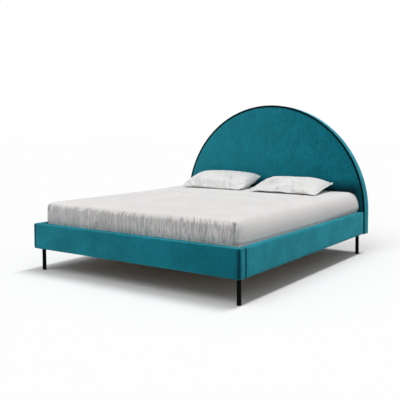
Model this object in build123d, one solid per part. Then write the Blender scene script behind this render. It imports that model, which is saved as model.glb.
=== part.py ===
from build123d import *
import math
import os

os.makedirs("parts", exist_ok=True)

# Upholstered double bed. +Z is up, +Y points to the headboard, +X to the right of someone
# who looks from the foot. The origin is on the floor, at the middle of the footprint.

# Mattress with its fitted sheet, and the gaps that the frame leaves round it
mattress_width = 1800
mattress_length = 2000
mattress_height = 227
mattress_crown = 8
mattress_corner_round = 66
mattress_side_round = 70
mattress_end_round = 40
mattress_low_round = 25
side_gap = 5
end_gap = 4.5
mattress_sink = 57
sheet_thickness = 1.5
ticking_thickness = 20
sheet_hem = 90

# Rails
rail_bottom = 176
rail_height = 196
side_rail_thickness = 45
foot_rail_thickness = 58
cover_thickness = 2
rail_foam_thickness = 14
rail_top_foam = 8
rail_edge_round = 11
rail_end_round = 4.5
cover_return_top = 60
cover_return_bottom = 40

# Headboard, from its front to its back
headboard_thickness = 98
headboard_foam_thickness = 30
front_panel_thickness = 5
back_panel_thickness = 15
dust_cover_thickness = 1
rim_thickness = 10
piping_diameter = 11
piping_sides = 8
piping_tuck = 1
soft_gap = 0.3
batten_width = 45
batten_count = 3
crossbar_height_shares = [0.22, 0.62]

# Slat base
slat_count = 14
slat_width = 68
slat_thickness = 8
slat_rise = 12
slat_margin = 82
cap_floor = 6
cap_roof = 3
cap_wall = 3
cap_length = 30
cap_inset = 5
cap_clearance = 0.3
ledge_size = 40
ledge_thickness = 3
ledge_screw_count = 5
ledge_screw_inset = 90
beam_width = 60
beam_height = 40
beam_wall = 2
beam_end_gap = 1
pocket_thickness = 3
pocket_depth = 30
pocket_ear = 25
pocket_clearance = 0.3

# Corner joints
bracket_arm = 40
bracket_height = 66
bracket_thickness = 4
bracket_rise = 42
bolt_diameter = 8
bolt_head_width = 13
bolt_head_height = 5
bolt_grip = 20
bolt_spacing = 34

# Wood screws
shank_sides = 6
screw_diameter = 5
screw_head_diameter = 9
screw_head_height = 3
screw_grip = 20
hole_clearance = 0.1

# Corner legs
leg_diameter = 30
leg_inset = 49
front_leg_setback = 61
rear_leg_setback = 23
leg_plate_size = 110
leg_plate_thickness = 4
leg_plate_inset = 20
rear_plate_reach = 26
plate_screw_margin = 12.5
plate_screw_pitch = 32
glide_thickness = 6

# Centre legs and their adjustable feet
centre_leg_diameter = 32
centre_leg_places = [700, 1400]
centre_plate_length = 90
centre_plate_width = 44
centre_plate_thickness = 3
centre_leg_end = 45
foot_pad_diameter = 40
foot_pad_height = 12
foot_stud_diameter = 10
foot_stud_top = 85
foot_travel = 20
thread_clearance = 0.1
locknut_width = 17
locknut_height = 8

# Gathers of the fitted sheet on its foot side
gather_count = 30
gather_depth = 3.5
gather_low_radius = 9
gather_top_radius = 3
gather_vary = 1.6
gather_height = 150
fold_sides = 8
corner_pleat_radius = 12

# Pillows: the places are measured from the middle of the bed and from the headboard
pillow_gap_to_headboard = 17
pillow_draw = 14
pillow_seam = 3
pillow_front_run = 40
pillow_rear_run = 170
pillow_front_bulge = 4
pillow_rear_bulge = 14
pillow_station_shares = [-1, -0.92, -0.65, -0.2, 0.2, 0.65, 0.92, 1]
pillow_fullness_shares = [0.02, 0.44, 0.86, 1, 1, 0.86, 0.44, 0.02]
pillow_crown_runs = 8
pillow_edge_runs = 2
pillow_least_share = 0.1
left_pillow = {"centre": -397, "width": 695, "depth": 430, "crown": 100, "front": 15, "rear": 108}
right_pillow = {"centre": 385, "width": 650, "depth": 475, "crown": 92, "front": 15, "rear": 80}

overrun = 20

# Places that follow from the sizes above
half_width = mattress_width / 2 + side_gap + side_rail_thickness
rail_inner = half_width - side_rail_thickness
inner_length = mattress_length + 2 * end_gap
bed_length = foot_rail_thickness + inner_length + headboard_thickness
foot_face = -bed_length / 2
foot_inner = foot_face + foot_rail_thickness
head_face = foot_inner + inner_length
head_back = bed_length / 2
rail_top = rail_bottom + rail_height
cover_bottom = rail_bottom + cover_thickness

foot_board_face = foot_inner - cover_thickness
foot_board_front = foot_face + cover_thickness + rail_foam_thickness
foot_board_middle = (foot_board_face + foot_board_front) / 2
side_board_face = rail_inner + cover_thickness
side_board_back = half_width - cover_thickness - rail_foam_thickness
side_board_middle = (side_board_face + side_board_back) / 2
window_bottom = rail_bottom + cover_return_bottom
window_top = rail_top - cover_return_top

foam_front = head_face + cover_thickness
front_panel_front = foam_front + headboard_foam_thickness
batten_front = front_panel_front + front_panel_thickness
dust_cover_front = head_back - dust_cover_thickness
back_panel_front = dust_cover_front - back_panel_thickness
core_inset = piping_diameter + soft_gap
border_front = head_face + piping_diameter + soft_gap / 3
border_inset = cover_thickness

mattress_bottom = rail_top - mattress_sink
mattress_top = mattress_bottom + mattress_height
mattress_middle = foot_inner + inner_length / 2
ledge_top = mattress_bottom - soft_gap - slat_rise - slat_thickness - cap_floor
slat_low = ledge_top + cap_floor
beam_bottom = ledge_top - beam_height
slat_pitch = (inner_length - 2 * slat_margin) / (slat_count - 1)
slat_places = [foot_inner + slat_margin + slat_pitch * i for i in range(slat_count)]
slat_outer = rail_inner - cap_inset - cap_wall
bracket_bottom = rail_bottom + bracket_rise
bracket_middle = bracket_bottom + bracket_height / 2
leg_x = half_width - leg_inset
front_leg_y = foot_face + front_leg_setback
rear_leg_y = head_face - rear_leg_setback
plate_top = rail_bottom
plate_bottom = plate_top - leg_plate_thickness
plate_outer = half_width - leg_plate_inset
plate_inner = plate_outer - leg_plate_size


def block(x0, x1, y0, y1, z0, z1):
    middle = Pos((x0 + x1) / 2, (y0 + y1) / 2, (z0 + z1) / 2)
    return middle * Box(x1 - x0, y1 - y0, z1 - z0)


def mirrored(shape):
    return mirror(shape, about=Plane.YZ)


def rod(plane, radius, start, end):
    """A cylinder along the plane's own Z, from start to end."""
    return plane.offset(start) * extrude(Circle(radius), end - start)


def along(x, y, z, direction):
    return Plane(origin=(x, y, z), z_dir=direction)


def shank(plane, radius, length):
    """A six-sided peg below the plane: bolts, screws and their holes have few faces."""
    return plane * extrude(RegularPolygon(radius, shank_sides), -length)


def screw(plane, radius, head, length):
    """Head above the plane, shank below it."""
    return shank(plane, radius, length) + plane * head


def hex_head(width, height):
    return extrude(RegularPolygon(width / 2, 6, major_radius=False), height)


def pan_head(diameter, height):
    return extrude(RegularPolygon(diameter / 2, shank_sides), height)


# Rails: a board, foam on its outer side and top, and a cover that returns on the inside

def side_rail_block(inset):
    """The right side rail's outline, with its long edges and its ends rounded."""
    thickness = side_rail_thickness - 2 * inset
    length = inner_length - 2 * inset
    middle = Pos(half_width - side_rail_thickness / 2, mattress_middle, rail_bottom + rail_height / 2)
    section = Plane.XZ * RectangleRounded(thickness, rail_height - 2 * inset, rail_edge_round - inset)
    plan = RectangleRounded(thickness, length, rail_end_round - inset)
    return middle * (extrude(section, length, both=True) & extrude(plan, rail_height, both=True))


def foot_rail_block(inset):
    """The foot rail's outline: the front edges have the full round, the rear ones the small."""
    rail = block(
        inset - half_width,
        half_width - inset,
        foot_face + inset,
        foot_inner - inset,
        rail_bottom + inset,
        rail_top - inset,
    )
    rail = fillet(rail.faces().sort_by(Axis.Y)[0].edges(), rail_edge_round - inset)
    return fillet(rail.faces().sort_by(Axis.Y)[-1].edges(), rail_end_round - inset)


def side_rail():
    core = side_rail_block(cover_thickness)
    board_space = block(
        rail_inner,
        side_board_back,
        foot_inner,
        head_face,
        rail_bottom,
        rail_top - cover_thickness - rail_top_foam,
    )
    window = block(
        rail_inner - overrun,
        side_board_face,
        foot_inner - overrun,
        head_face + overrun,
        window_bottom,
        window_top,
    )
    cover = side_rail_block(0) - core - window
    return core & board_space, core - board_space, cover


def foot_rail():
    core = foot_rail_block(cover_thickness)
    board_space = block(
        -half_width,
        half_width,
        foot_board_front,
        foot_inner,
        rail_bottom,
        rail_top - cover_thickness - rail_top_foam,
    )
    window = block(
        -side_board_face,
        side_board_face,
        foot_board_face,
        foot_inner + overrun,
        window_bottom,
        window_top,
    )
    cover = foot_rail_block(0) - core - window
    return core & board_space, core - board_space, cover


# Headboard: layers with one outline, a half circle on straight sides

def arch_face(inset, base):
    half = half_width - inset
    return make_face(
        [
            Line((-half, base), (half, base)),
            Line((half, base), (half, rail_top)),
            ThreePointArc((half, rail_top), (0, rail_top + half), (-half, rail_top)),
            Line((-half, rail_top), (-half, base)),
        ]
    )


def arch_layer(inset, base, front, back):
    """A slab with the headboard's outline, between two depths."""
    plane = Plane(origin=(0, front, 0), x_dir=(1, 0, 0), z_dir=(0, -1, 0))
    return extrude(plane * arch_face(inset, base), front - back)


def headboard_piping():
    """A round cord down both sides and over the top, at the front edge."""
    reach = half_width - piping_diameter / 2
    middle = head_face + piping_diameter / 2
    path = Wire(
        [
            Line((-reach, middle, rail_bottom), (-reach, middle, rail_top)),
            ThreePointArc(
                (-reach, middle, rail_top), (0, middle, rail_top + reach), (reach, middle, rail_top)
            ),
            Line((reach, middle, rail_top), (reach, middle, rail_bottom)),
        ]
    )
    start = along(-reach, middle, rail_bottom, (0, 0, 1))
    return sweep(start * RegularPolygon(piping_diameter / 2, piping_sides), path)


def headboard_cloth():
    """Front cover, border cover, border wadding and back dust cover."""
    front = arch_layer(piping_diameter - piping_tuck, rail_bottom, head_face, foam_front)
    border = arch_layer(border_inset, rail_bottom, border_front, dust_cover_front)
    border -= arch_layer(border_inset + cover_thickness, cover_bottom, border_front, dust_cover_front)
    border += block(
        core_inset - half_width,
        half_width - core_inset,
        foam_front,
        border_front,
        rail_bottom,
        cover_bottom,
    )
    wadding = arch_layer(border_inset + cover_thickness, cover_bottom, border_front, dust_cover_front)
    wadding -= arch_layer(core_inset, cover_bottom, border_front, dust_cover_front)
    back = arch_layer(border_inset, rail_bottom, dust_cover_front, head_back)
    return front, border, wadding, back


def headboard_frame():
    """Bent rim, battens inside it, and the panels on both sides."""
    rim = arch_layer(core_inset, cover_bottom, batten_front, back_panel_front)
    inside_inset = core_inset + rim_thickness
    inside = arch_layer(inside_inset, cover_bottom + rim_thickness, batten_front, back_panel_front)
    rim -= inside
    spacing = 2 * half_width / (batten_count + 1)
    tall = half_width + rail_height
    high = rail_bottom + tall
    uprights = []
    for i in range(batten_count):
        x0 = spacing * (i - (batten_count - 1) / 2) - batten_width / 2
        upright = block(x0, x0 + batten_width, batten_front, back_panel_front, rail_bottom, high)
        uprights.append(upright)
    crossbars = []
    for share in crossbar_height_shares:
        low = rail_bottom + tall * share
        bar = block(-half_width, half_width, batten_front, back_panel_front, low, low + batten_width)
        crossbars += (bar - uprights).solids()
    battens = [piece & inside for piece in uprights + crossbars]
    front_panel = arch_layer(core_inset, cover_bottom, front_panel_front, batten_front)
    back_panel = arch_layer(core_inset, cover_bottom, back_panel_front, dust_cover_front)
    return rim, Compound(children=battens), front_panel, back_panel


def headboard_filling():
    """Foam, and below it the solid board that the rail bolts go into."""
    slab = arch_layer(core_inset, cover_bottom, foam_front, front_panel_front)
    board_space = block(
        -half_width,
        half_width,
        foam_front,
        front_panel_front,
        rail_bottom,
        rail_top - cover_thickness,
    )
    return slab & board_space, slab - board_space


# Corner joints

def corner_bracket():
    """Right foot corner: one arm on the foot rail's board, one on the side rail's."""
    low = bracket_bottom
    high = bracket_bottom + bracket_height
    foot_arm = block(
        side_board_face - bracket_thickness - bracket_arm,
        side_board_face,
        foot_board_face,
        foot_board_face + bracket_thickness,
        low,
        high,
    )
    side_arm = block(
        side_board_face - bracket_thickness,
        side_board_face,
        foot_board_face,
        foot_board_face + bracket_thickness + bracket_arm,
        low,
        high,
    )
    return foot_arm + side_arm


def headboard_bracket():
    """Right head corner: one arm on the side rail's board, one on the headboard's front."""
    low = bracket_bottom
    high = bracket_bottom + bracket_height
    head_arm = block(
        side_board_face - bracket_thickness - bracket_arm,
        side_board_face,
        head_face - bracket_thickness,
        head_face,
        low,
        high,
    )
    side_arm = block(
        side_board_face - bracket_thickness,
        side_board_face,
        head_face - bracket_thickness - bracket_arm,
        head_face,
        low,
        high,
    )
    return head_arm + side_arm


def bolt_planes():
    """Seats of the right side's rail bolts: each plane's Z points away from the wood."""
    reach = bracket_thickness + bracket_arm / 2
    planes = []
    for z in [bracket_middle - bolt_spacing / 2, bracket_middle + bolt_spacing / 2]:
        x = side_board_face - reach
        face = side_board_face - bracket_thickness
        planes.append(along(x, foot_board_face + bracket_thickness, z, (0, 1, 0)))
        planes.append(along(face, foot_board_face + reach, z, (-1, 0, 0)))
        planes.append(along(face, head_face - reach, z, (-1, 0, 0)))
        planes.append(along(x, head_face - bracket_thickness, z, (0, -1, 0)))
    return planes


# Corner legs

def leg(y, plate_start):
    """A steel leg welded under a square plate, right side."""
    axis = along(leg_x, y, 0, (0, 0, 1))
    tube = rod(axis, leg_diameter / 2, glide_thickness, plate_bottom)
    plate_end = plate_start + leg_plate_size
    plate = block(plate_inner, plate_outer, plate_start, plate_end, plate_bottom, plate_top)
    return tube + plate


def glide(y):
    """A plastic disc under the leg."""
    return rod(along(leg_x, y, 0, (0, 0, 1)), leg_diameter / 2, 0, glide_thickness)


def leg_screw_planes():
    """Seats of the right side's leg screws, under the plates."""
    front_start = foot_face + leg_plate_inset
    front_end = front_start + leg_plate_size
    rear_end = head_face + rear_plate_reach
    rear_start = rear_end - leg_plate_size
    head_board_middle = foam_front + headboard_foam_thickness / 2
    near = plate_inner + plate_screw_margin
    places = [
        (near, foot_board_middle),
        (side_board_middle, front_end - plate_screw_margin),
        (side_board_middle, front_end - plate_screw_margin - plate_screw_pitch),
        (near, head_board_middle),
        (side_board_middle, rear_start + plate_screw_margin),
        (side_board_middle, rear_start + plate_screw_margin + plate_screw_pitch),
    ]
    return [along(x, y, plate_bottom, (0, 0, -1)) for x, y in places]


# Slat base

def ledge():
    """Steel angle on the right side rail's board."""
    start = foot_inner + bracket_arm + cover_thickness
    end = head_face - bracket_arm - 2 * bracket_thickness
    upright = block(
        side_board_face - ledge_thickness, side_board_face, start, end, ledge_top - ledge_size, ledge_top
    )
    shelf = block(
        side_board_face - ledge_size, side_board_face, start, end, ledge_top - ledge_thickness, ledge_top
    )
    return upright + shelf


def ledge_screw_planes():
    start = foot_inner + ledge_screw_inset
    pitch = (inner_length - 2 * ledge_screw_inset) / (ledge_screw_count - 1)
    height = ledge_top - ledge_size * 2 / 3
    face = side_board_face - ledge_thickness
    return [along(face, start + pitch * i, height, (-1, 0, 0)) for i in range(ledge_screw_count)]


def slat(y, clearance):
    """A bentwood slat from the centre beam to the right ledge, or the space that it needs."""
    inner = cap_wall + cap_clearance - clearance
    outer = slat_outer - cap_clearance + clearance
    middle = (inner + outer) / 2
    low = slat_low + cap_clearance - clearance
    high = slat_low + cap_clearance + slat_thickness + clearance
    side = make_face(
        [
            ThreePointArc((inner, low), (middle, low + slat_rise), (outer, low)),
            Line((outer, low), (outer, high)),
            ThreePointArc((outer, high), (middle, high + slat_rise), (inner, high)),
            Line((inner, high), (inner, low)),
        ]
    )
    width = slat_width + 2 * clearance
    plane = Plane(origin=(0, y - width / 2, 0), x_dir=(1, 0, 0), z_dir=(0, -1, 0))
    return extrude(plane * side, -width)


def cap_body(x0, x1, y):
    half = slat_width / 2 + cap_wall
    top = slat_low + slat_thickness + cap_roof + slat_rise * 4 * cap_length / slat_outer
    return block(x0, x1, y - half, y + half, ledge_top, top)


def outer_cap(y):
    """A plastic pocket that sits on the ledge."""
    end = slat_outer + cap_wall
    return cap_body(end - cap_length, end, y)


def centre_cap(y):
    """A double pocket on the beam, which takes a slat from each side."""
    return cap_body(-cap_length, cap_length, y)


def beam():
    start = foot_board_face + pocket_thickness + beam_end_gap
    end = head_face - pocket_thickness - beam_end_gap
    outside = block(-beam_width / 2, beam_width / 2, start, end, beam_bottom, ledge_top)
    bore = block(
        beam_wall - beam_width / 2,
        beam_width / 2 - beam_wall,
        start - overrun,
        end + overrun,
        beam_bottom + beam_wall,
        ledge_top - beam_wall,
    )
    return outside - bore


def pocket(seat, direction):
    """A steel cradle for the beam's end. The seat is the face it is screwed to."""
    back = seat + direction * pocket_thickness
    front = back + direction * pocket_depth
    half = beam_width / 2 + pocket_clearance
    wide = half + pocket_thickness + pocket_ear
    low = beam_bottom - pocket_thickness
    high = ledge_top - beam_height / 4
    plate = block(-wide, wide, min(seat, back), max(seat, back), low, high)
    cradle = block(
        -half - pocket_thickness, half + pocket_thickness, min(back, front), max(back, front), low, high
    )
    space = block(-half, half, min(back, front), max(back, front), beam_bottom, high)
    return plate + (cradle - space)


def pocket_screw_planes():
    planes = []
    x = beam_width / 2 + pocket_thickness + pocket_ear / 2
    for place in [-x, x]:
        for z in [beam_bottom + beam_height / 6, beam_bottom + beam_height * 7 / 12]:
            planes.append(along(place, foot_board_face + pocket_thickness, z, (0, 1, 0)))
            planes.append(along(place, head_face - pocket_thickness, z, (0, -1, 0)))
    return planes


# Centre legs

def centre_leg(y):
    """A post under a plate, with a threaded bore at its lower end."""
    axis = along(0, y, 0, (0, 0, 1))
    plate_low = beam_bottom - centre_plate_thickness
    radius = centre_leg_diameter / 2
    tube = rod(axis, radius, centre_leg_end, plate_low)
    tube -= rod(axis, foot_stud_diameter / 2 + thread_clearance, 0, foot_stud_top + foot_travel)
    plate = block(
        -centre_plate_width / 2,
        centre_plate_width / 2,
        y - centre_plate_length / 2,
        y + centre_plate_length / 2,
        plate_low,
        beam_bottom,
    )
    return tube + plate


def centre_foot(y):
    """A pad on a threaded stud."""
    axis = along(0, y, 0, (0, 0, 1))
    pad = rod(axis, foot_pad_diameter / 2, 0, foot_pad_height)
    return pad + rod(axis, foot_stud_diameter / 2, foot_pad_height, foot_stud_top)


def locknut(y):
    plane = along(0, y, centre_leg_end - locknut_height, (0, 0, 1))
    nut = plane * hex_head(locknut_width, locknut_height)
    return nut - rod(plane, foot_stud_diameter / 2 + thread_clearance, 0, locknut_height)


def centre_screw_planes(y):
    reach = (centre_plate_length + centre_leg_diameter) / 4
    low = beam_bottom - centre_plate_thickness
    return [along(0, y - reach, low, (0, 0, -1)), along(0, y + reach, low, (0, 0, -1))]


# Mattress: three crossing outlines give the crown, the side rounds and the corners

def side_outline(half, low, high, crown, top_round, low_round):
    """A closed outline with rounded corners and a bowed top."""
    share = 1 - math.sqrt(0.5)
    return make_face(
        [
            Line((low_round - half, low), (half - low_round, low)),
            ThreePointArc(
                (half - low_round, low),
                (half - low_round * share, low + low_round * share),
                (half, low + low_round),
            ),
            Line((half, low + low_round), (half, high - top_round)),
            ThreePointArc(
                (half, high - top_round),
                (half - top_round * share, high - top_round * share),
                (half - top_round, high),
            ),
            ThreePointArc((half - top_round, high), (0, high + crown), (top_round - half, high)),
            ThreePointArc(
                (top_round - half, high),
                (top_round * share - half, high - top_round * share),
                (-half, high - top_round),
            ),
            Line((-half, high - top_round), (-half, low + low_round)),
            ThreePointArc(
                (-half, low + low_round),
                (low_round * share - half, low + low_round * share),
                (low_round - half, low),
            ),
        ]
    )


def mattress_slab(inset):
    """The mattress without the rounds along its head and foot edges."""
    half = mattress_width / 2 - inset
    low = mattress_bottom + inset
    high = mattress_top - mattress_crown - inset
    side_round = mattress_side_round - inset
    across = side_outline(half, low, high, mattress_crown, side_round, mattress_low_round - inset)
    plan = RectangleRounded(2 * half, mattress_length - 2 * inset, mattress_corner_round - inset)
    body = extrude(Plane.XZ * across, mattress_length, both=True)
    body &= Pos(0, 0, mattress_bottom - overrun) * extrude(plan, mattress_height + 2 * overrun)
    return Pos(0, mattress_middle, 0) * body


def mattress_block(inset):
    half = mattress_length / 2 - inset
    low = mattress_bottom + inset
    high = mattress_top - mattress_crown - inset
    end_round = mattress_end_round - inset
    lengthwise = side_outline(half, low, high, mattress_crown, end_round, mattress_low_round - inset)
    return mattress_slab(inset) & Pos(0, mattress_middle, 0) * extrude(
        Plane.YZ * lengthwise, mattress_width, both=True
    )


def fold(low_radius, height):
    """An upright fold that narrows to its top."""
    low = RegularPolygon(low_radius, fold_sides)
    return loft([low, Pos(0, 0, height) * RegularPolygon(gather_top_radius, fold_sides)], ruled=True)


def sheet_gathers():
    """Upright folds on the foot side, uneven in place and size, and one at each corner."""
    face = foot_inner + end_gap
    span = mattress_width - 2 * mattress_corner_round
    pitch = span / gather_count
    folds = []
    for i in range(gather_count):
        sway = math.sin(2.4 * i) * pitch / 4
        vary = math.cos(1.7 * i) * gather_vary
        low_radius = gather_low_radius + vary
        x = pitch * (i - (gather_count - 1) / 2) + sway
        height = gather_height + gather_height * math.sin(3.1 * i) / 8
        place = Pos(x, face + low_radius - gather_depth, mattress_bottom + mattress_low_round)
        folds.append(place * fold(low_radius, height))
    reach = (mattress_corner_round + gather_depth) * math.sqrt(0.5)
    centre_x = mattress_width / 2 - mattress_corner_round
    centre_y = face + mattress_corner_round
    inward = corner_pleat_radius * math.sqrt(0.5)
    for side in [-1, 1]:
        x = side * (centre_x + reach - inward)
        place = Pos(x, centre_y - reach + inward, mattress_bottom + mattress_low_round)
        folds.append(place * fold(corner_pleat_radius, gather_height))
    return folds


def bedding():
    ticking_block = mattress_block(sheet_thickness)
    core = mattress_slab(sheet_thickness + ticking_thickness)
    hem_window = block(
        sheet_hem - mattress_width / 2,
        mattress_width / 2 - sheet_hem,
        foot_inner + end_gap + sheet_hem,
        head_face - end_gap - sheet_hem,
        mattress_bottom - overrun,
        mattress_bottom + sheet_thickness,
    )
    sheet = mattress_block(0) + sheet_gathers()
    sheet = sheet - ticking_block - hem_window
    return core, ticking_block - core, sheet


# Pillows: sections across the bed, each of a crowned top and a bottom that is flat on the sheet

def arc_drop(place, chord):
    """How far the crown's arc has come down at a distance from its middle."""
    radius = (chord**2 + mattress_crown**2) / (2 * mattress_crown)
    return radius - math.sqrt(radius**2 - place**2)


def sheet_height(x, y):
    """Top of the sheet, which bows down to its sides and to its ends."""
    across = arc_drop(x, mattress_width / 2 - mattress_side_round)
    lengthwise = arc_drop(y - mattress_middle, mattress_length / 2 - mattress_end_round)
    return mattress_top - max(across, lengthwise)


def bowed(start, end, depth, runs):
    """Short straight runs from start to end that bow to the right of the way, without the end."""
    along_y = end[0] - start[0]
    along_z = end[1] - start[1]
    length = math.hypot(along_y, along_z)
    points = []
    for i in range(runs):
        share = i / runs
        bow = 4 * depth * share * (1 - share) / length
        y = start[0] + along_y * share + along_z * bow
        z = start[1] + along_z * share - along_y * bow
        points.append((y, z))
    return points


def pillow_section(pillow, station, fullness):
    x = pillow["centre"] + station * pillow["width"] / 2
    draw = pillow_draw * (1 - station**2)
    rear_y = head_face - pillow_gap_to_headboard
    front_y = rear_y - pillow["depth"] + draw
    rear_y = rear_y - draw
    front_z = sheet_height(pillow["centre"], front_y) + pillow["front"]
    rear_z = sheet_height(pillow["centre"], front_y) + pillow["rear"]
    slope = (rear_z - front_z) / (rear_y - front_y)
    near_y = front_y + pillow_front_run
    far_y = rear_y - pillow_rear_run
    thin = pillow_seam * (1 - fullness)
    near_seat = sheet_height(x, near_y) + soft_gap
    far_seat = sheet_height(x, far_y) + soft_gap
    near_z = near_seat * fullness + (front_z + slope * (near_y - front_y)) * (1 - fullness) - thin
    far_z = far_seat * fullness + (front_z + slope * (far_y - front_y)) * (1 - fullness) - thin
    bow = max(fullness, pillow_least_share)
    front = (front_y, front_z)
    near = (near_y, near_z)
    far = (far_y, far_z)
    rear = (rear_y, rear_z)
    points = bowed(front, near, pillow_front_bulge * bow, pillow_edge_runs)
    points += bowed(near, far, 0, 1)
    points += bowed(far, rear, pillow_rear_bulge * bow, pillow_edge_runs)
    points += bowed(rear, front, thin + pillow["crown"] * fullness, pillow_crown_runs)
    return Plane.YZ.offset(x) * Polygon(*points, align=None)


def pillow_solid(pillow):
    stations = zip(pillow_station_shares, pillow_fullness_shares)
    sections = [pillow_section(pillow, station, fullness) for station, fullness in stations]
    return loft(sections, ruled=True)


# Rails and headboard, with the holes for their bolts and screws
right_bolts = bolt_planes()
right_leg_screws = leg_screw_planes()
right_ledge_screws = ledge_screw_planes()
pocket_screws = pocket_screw_planes()

bolt_reach = bolt_grip + bracket_thickness
bolt_radius = bolt_diameter / 2
screw_radius = screw_diameter / 2
bolt_head = hex_head(bolt_head_width, bolt_head_height)
bolts = [screw(p, bolt_radius, bolt_head, bolt_reach) for p in right_bolts]
bolt_holes = [shank(p, bolt_radius + hole_clearance, bolt_reach) for p in right_bolts]


def pan_screws(planes):
    head = pan_head(screw_head_diameter, screw_head_height)
    return [screw(p, screw_radius, head, screw_grip) for p in planes]


def screw_holes(planes):
    return [shank(p, screw_radius + hole_clearance, screw_grip) for p in planes]


leg_screw_holes = screw_holes(right_leg_screws)
ledge_screw_holes = screw_holes(right_ledge_screws)
pocket_screw_holes = screw_holes(pocket_screws)
right_holes = bolt_holes + leg_screw_holes + ledge_screw_holes
all_holes = right_holes + [mirrored(hole) for hole in right_holes] + pocket_screw_holes


def both_sides(shapes):
    return Compound(children=shapes + [mirrored(shape) for shape in shapes])


board, foam, cover = side_rail()
board -= right_holes
cover -= right_holes
for piece, shape in [("board", board), ("foam", foam), ("cover", cover)]:
    export_step(shape, f"parts/side_rail_right_{piece}.step")
    export_step(mirrored(shape), f"parts/side_rail_left_{piece}.step")

board, foam, cover = foot_rail()
export_step(board - all_holes, "parts/foot_rail_board.step")
export_step(foam, "parts/foot_rail_foam.step")
export_step(cover - all_holes, "parts/foot_rail_cover.step")

front_cover, border_cover, border_wadding, back_cover = headboard_cloth()
rim, battens, front_panel, back_panel = headboard_frame()
lower_board, headboard_foam = headboard_filling()
export_step(front_cover - all_holes, "parts/headboard_front_cover.step")
export_step(border_cover - all_holes, "parts/headboard_border_cover.step")
export_step(border_wadding, "parts/headboard_border_wadding.step")
export_step(back_cover, "parts/headboard_back_cover.step")
export_step(rim, "parts/headboard_rim.step")
export_step(battens, "parts/headboard_battens.step")
export_step(front_panel, "parts/headboard_front_panel.step")
export_step(back_panel, "parts/headboard_back_panel.step")
export_step(lower_board - all_holes, "parts/headboard_lower_board.step")
export_step(headboard_foam, "parts/headboard_foam.step")
export_step(headboard_piping(), "parts/headboard_piping.step")

# Corner joints and legs
for name, shape in [("corner_bracket", corner_bracket()), ("headboard_bracket", headboard_bracket())]:
    shape -= bolt_holes
    export_step(shape, f"parts/{name}_right.step")
    export_step(mirrored(shape), f"parts/{name}_left.step")
export_step(both_sides(bolts), "parts/rail_bolts.step")

front_plate_start = foot_face + leg_plate_inset
rear_plate_start = head_face + rear_plate_reach - leg_plate_size
legs = [("front", front_leg_y, front_plate_start), ("rear", rear_leg_y, rear_plate_start)]
for name, y, plate_start in legs:
    shape = leg(y, plate_start) - leg_screw_holes
    export_step(shape, f"parts/leg_{name}_right.step")
    export_step(mirrored(shape), f"parts/leg_{name}_left.step")
export_step(both_sides([glide(front_leg_y), glide(rear_leg_y)]), "parts/leg_glides.step")
export_step(both_sides(pan_screws(right_leg_screws)), "parts/leg_screws.step")

# Slat base
right_ledge = ledge() - ledge_screw_holes
right_caps = [outer_cap(y) - slat(y, cap_clearance) for y in slat_places]
export_step(right_ledge, "parts/slat_ledge_right.step")
export_step(mirrored(right_ledge), "parts/slat_ledge_left.step")
export_step(both_sides(pan_screws(right_ledge_screws)), "parts/ledge_screws.step")

right_slats = Compound(children=[slat(y, 0) for y in slat_places])
export_step(right_slats, "parts/slats_right.step")
export_step(mirrored(right_slats), "parts/slats_left.step")
right_caps = Compound(children=right_caps)
export_step(right_caps, "parts/slat_caps_right.step")
export_step(mirrored(right_caps), "parts/slat_caps_left.step")
centre_caps = []
for y in slat_places:
    space = slat(y, cap_clearance)
    centre_caps.append(centre_cap(y) - space - mirrored(space))
export_step(Compound(children=centre_caps), "parts/slat_caps_centre.step")

export_step(pocket(foot_board_face, 1) - pocket_screw_holes, "parts/beam_pocket_foot.step")
export_step(pocket(head_face, -1) - pocket_screw_holes, "parts/beam_pocket_head.step")
export_step(Compound(children=pan_screws(pocket_screws)), "parts/pocket_screws.step")

# Centre beam and its legs
centre_y = [foot_face + place for place in centre_leg_places]
centre_planes = [plane for y in centre_y for plane in centre_screw_planes(y)]
centre_holes = screw_holes(centre_planes)
export_step(beam() - centre_holes, "parts/centre_beam.step")
export_step(Compound(children=pan_screws(centre_planes)), "parts/centre_leg_screws.step")
export_step(Compound(children=[locknut(y) for y in centre_y]), "parts/centre_foot_locknuts.step")
for name, y in zip(["front", "rear"], centre_y):
    export_step(centre_leg(y) - centre_holes, f"parts/centre_leg_{name}.step")
    export_step(centre_foot(y), f"parts/centre_foot_{name}.step")

# Bedding
core, ticking, sheet = bedding()
export_step(core, "parts/mattress_core.step")
export_step(ticking, "parts/mattress_ticking.step")
export_step(sheet, "parts/fitted_sheet.step")
for name, pillow in [("left", left_pillow), ("right", right_pillow)]:
    export_step(pillow_solid(pillow), f"parts/pillow_{name}.step")
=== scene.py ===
from fnmatch import fnmatch
from functools import partial
from math import atan2, cos, dist, exp, hypot, pi, radians, sin, sqrt, tanh

import bmesh
import bpy
from mathutils import Euler, Matrix, Vector, geometry, noise


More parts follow.
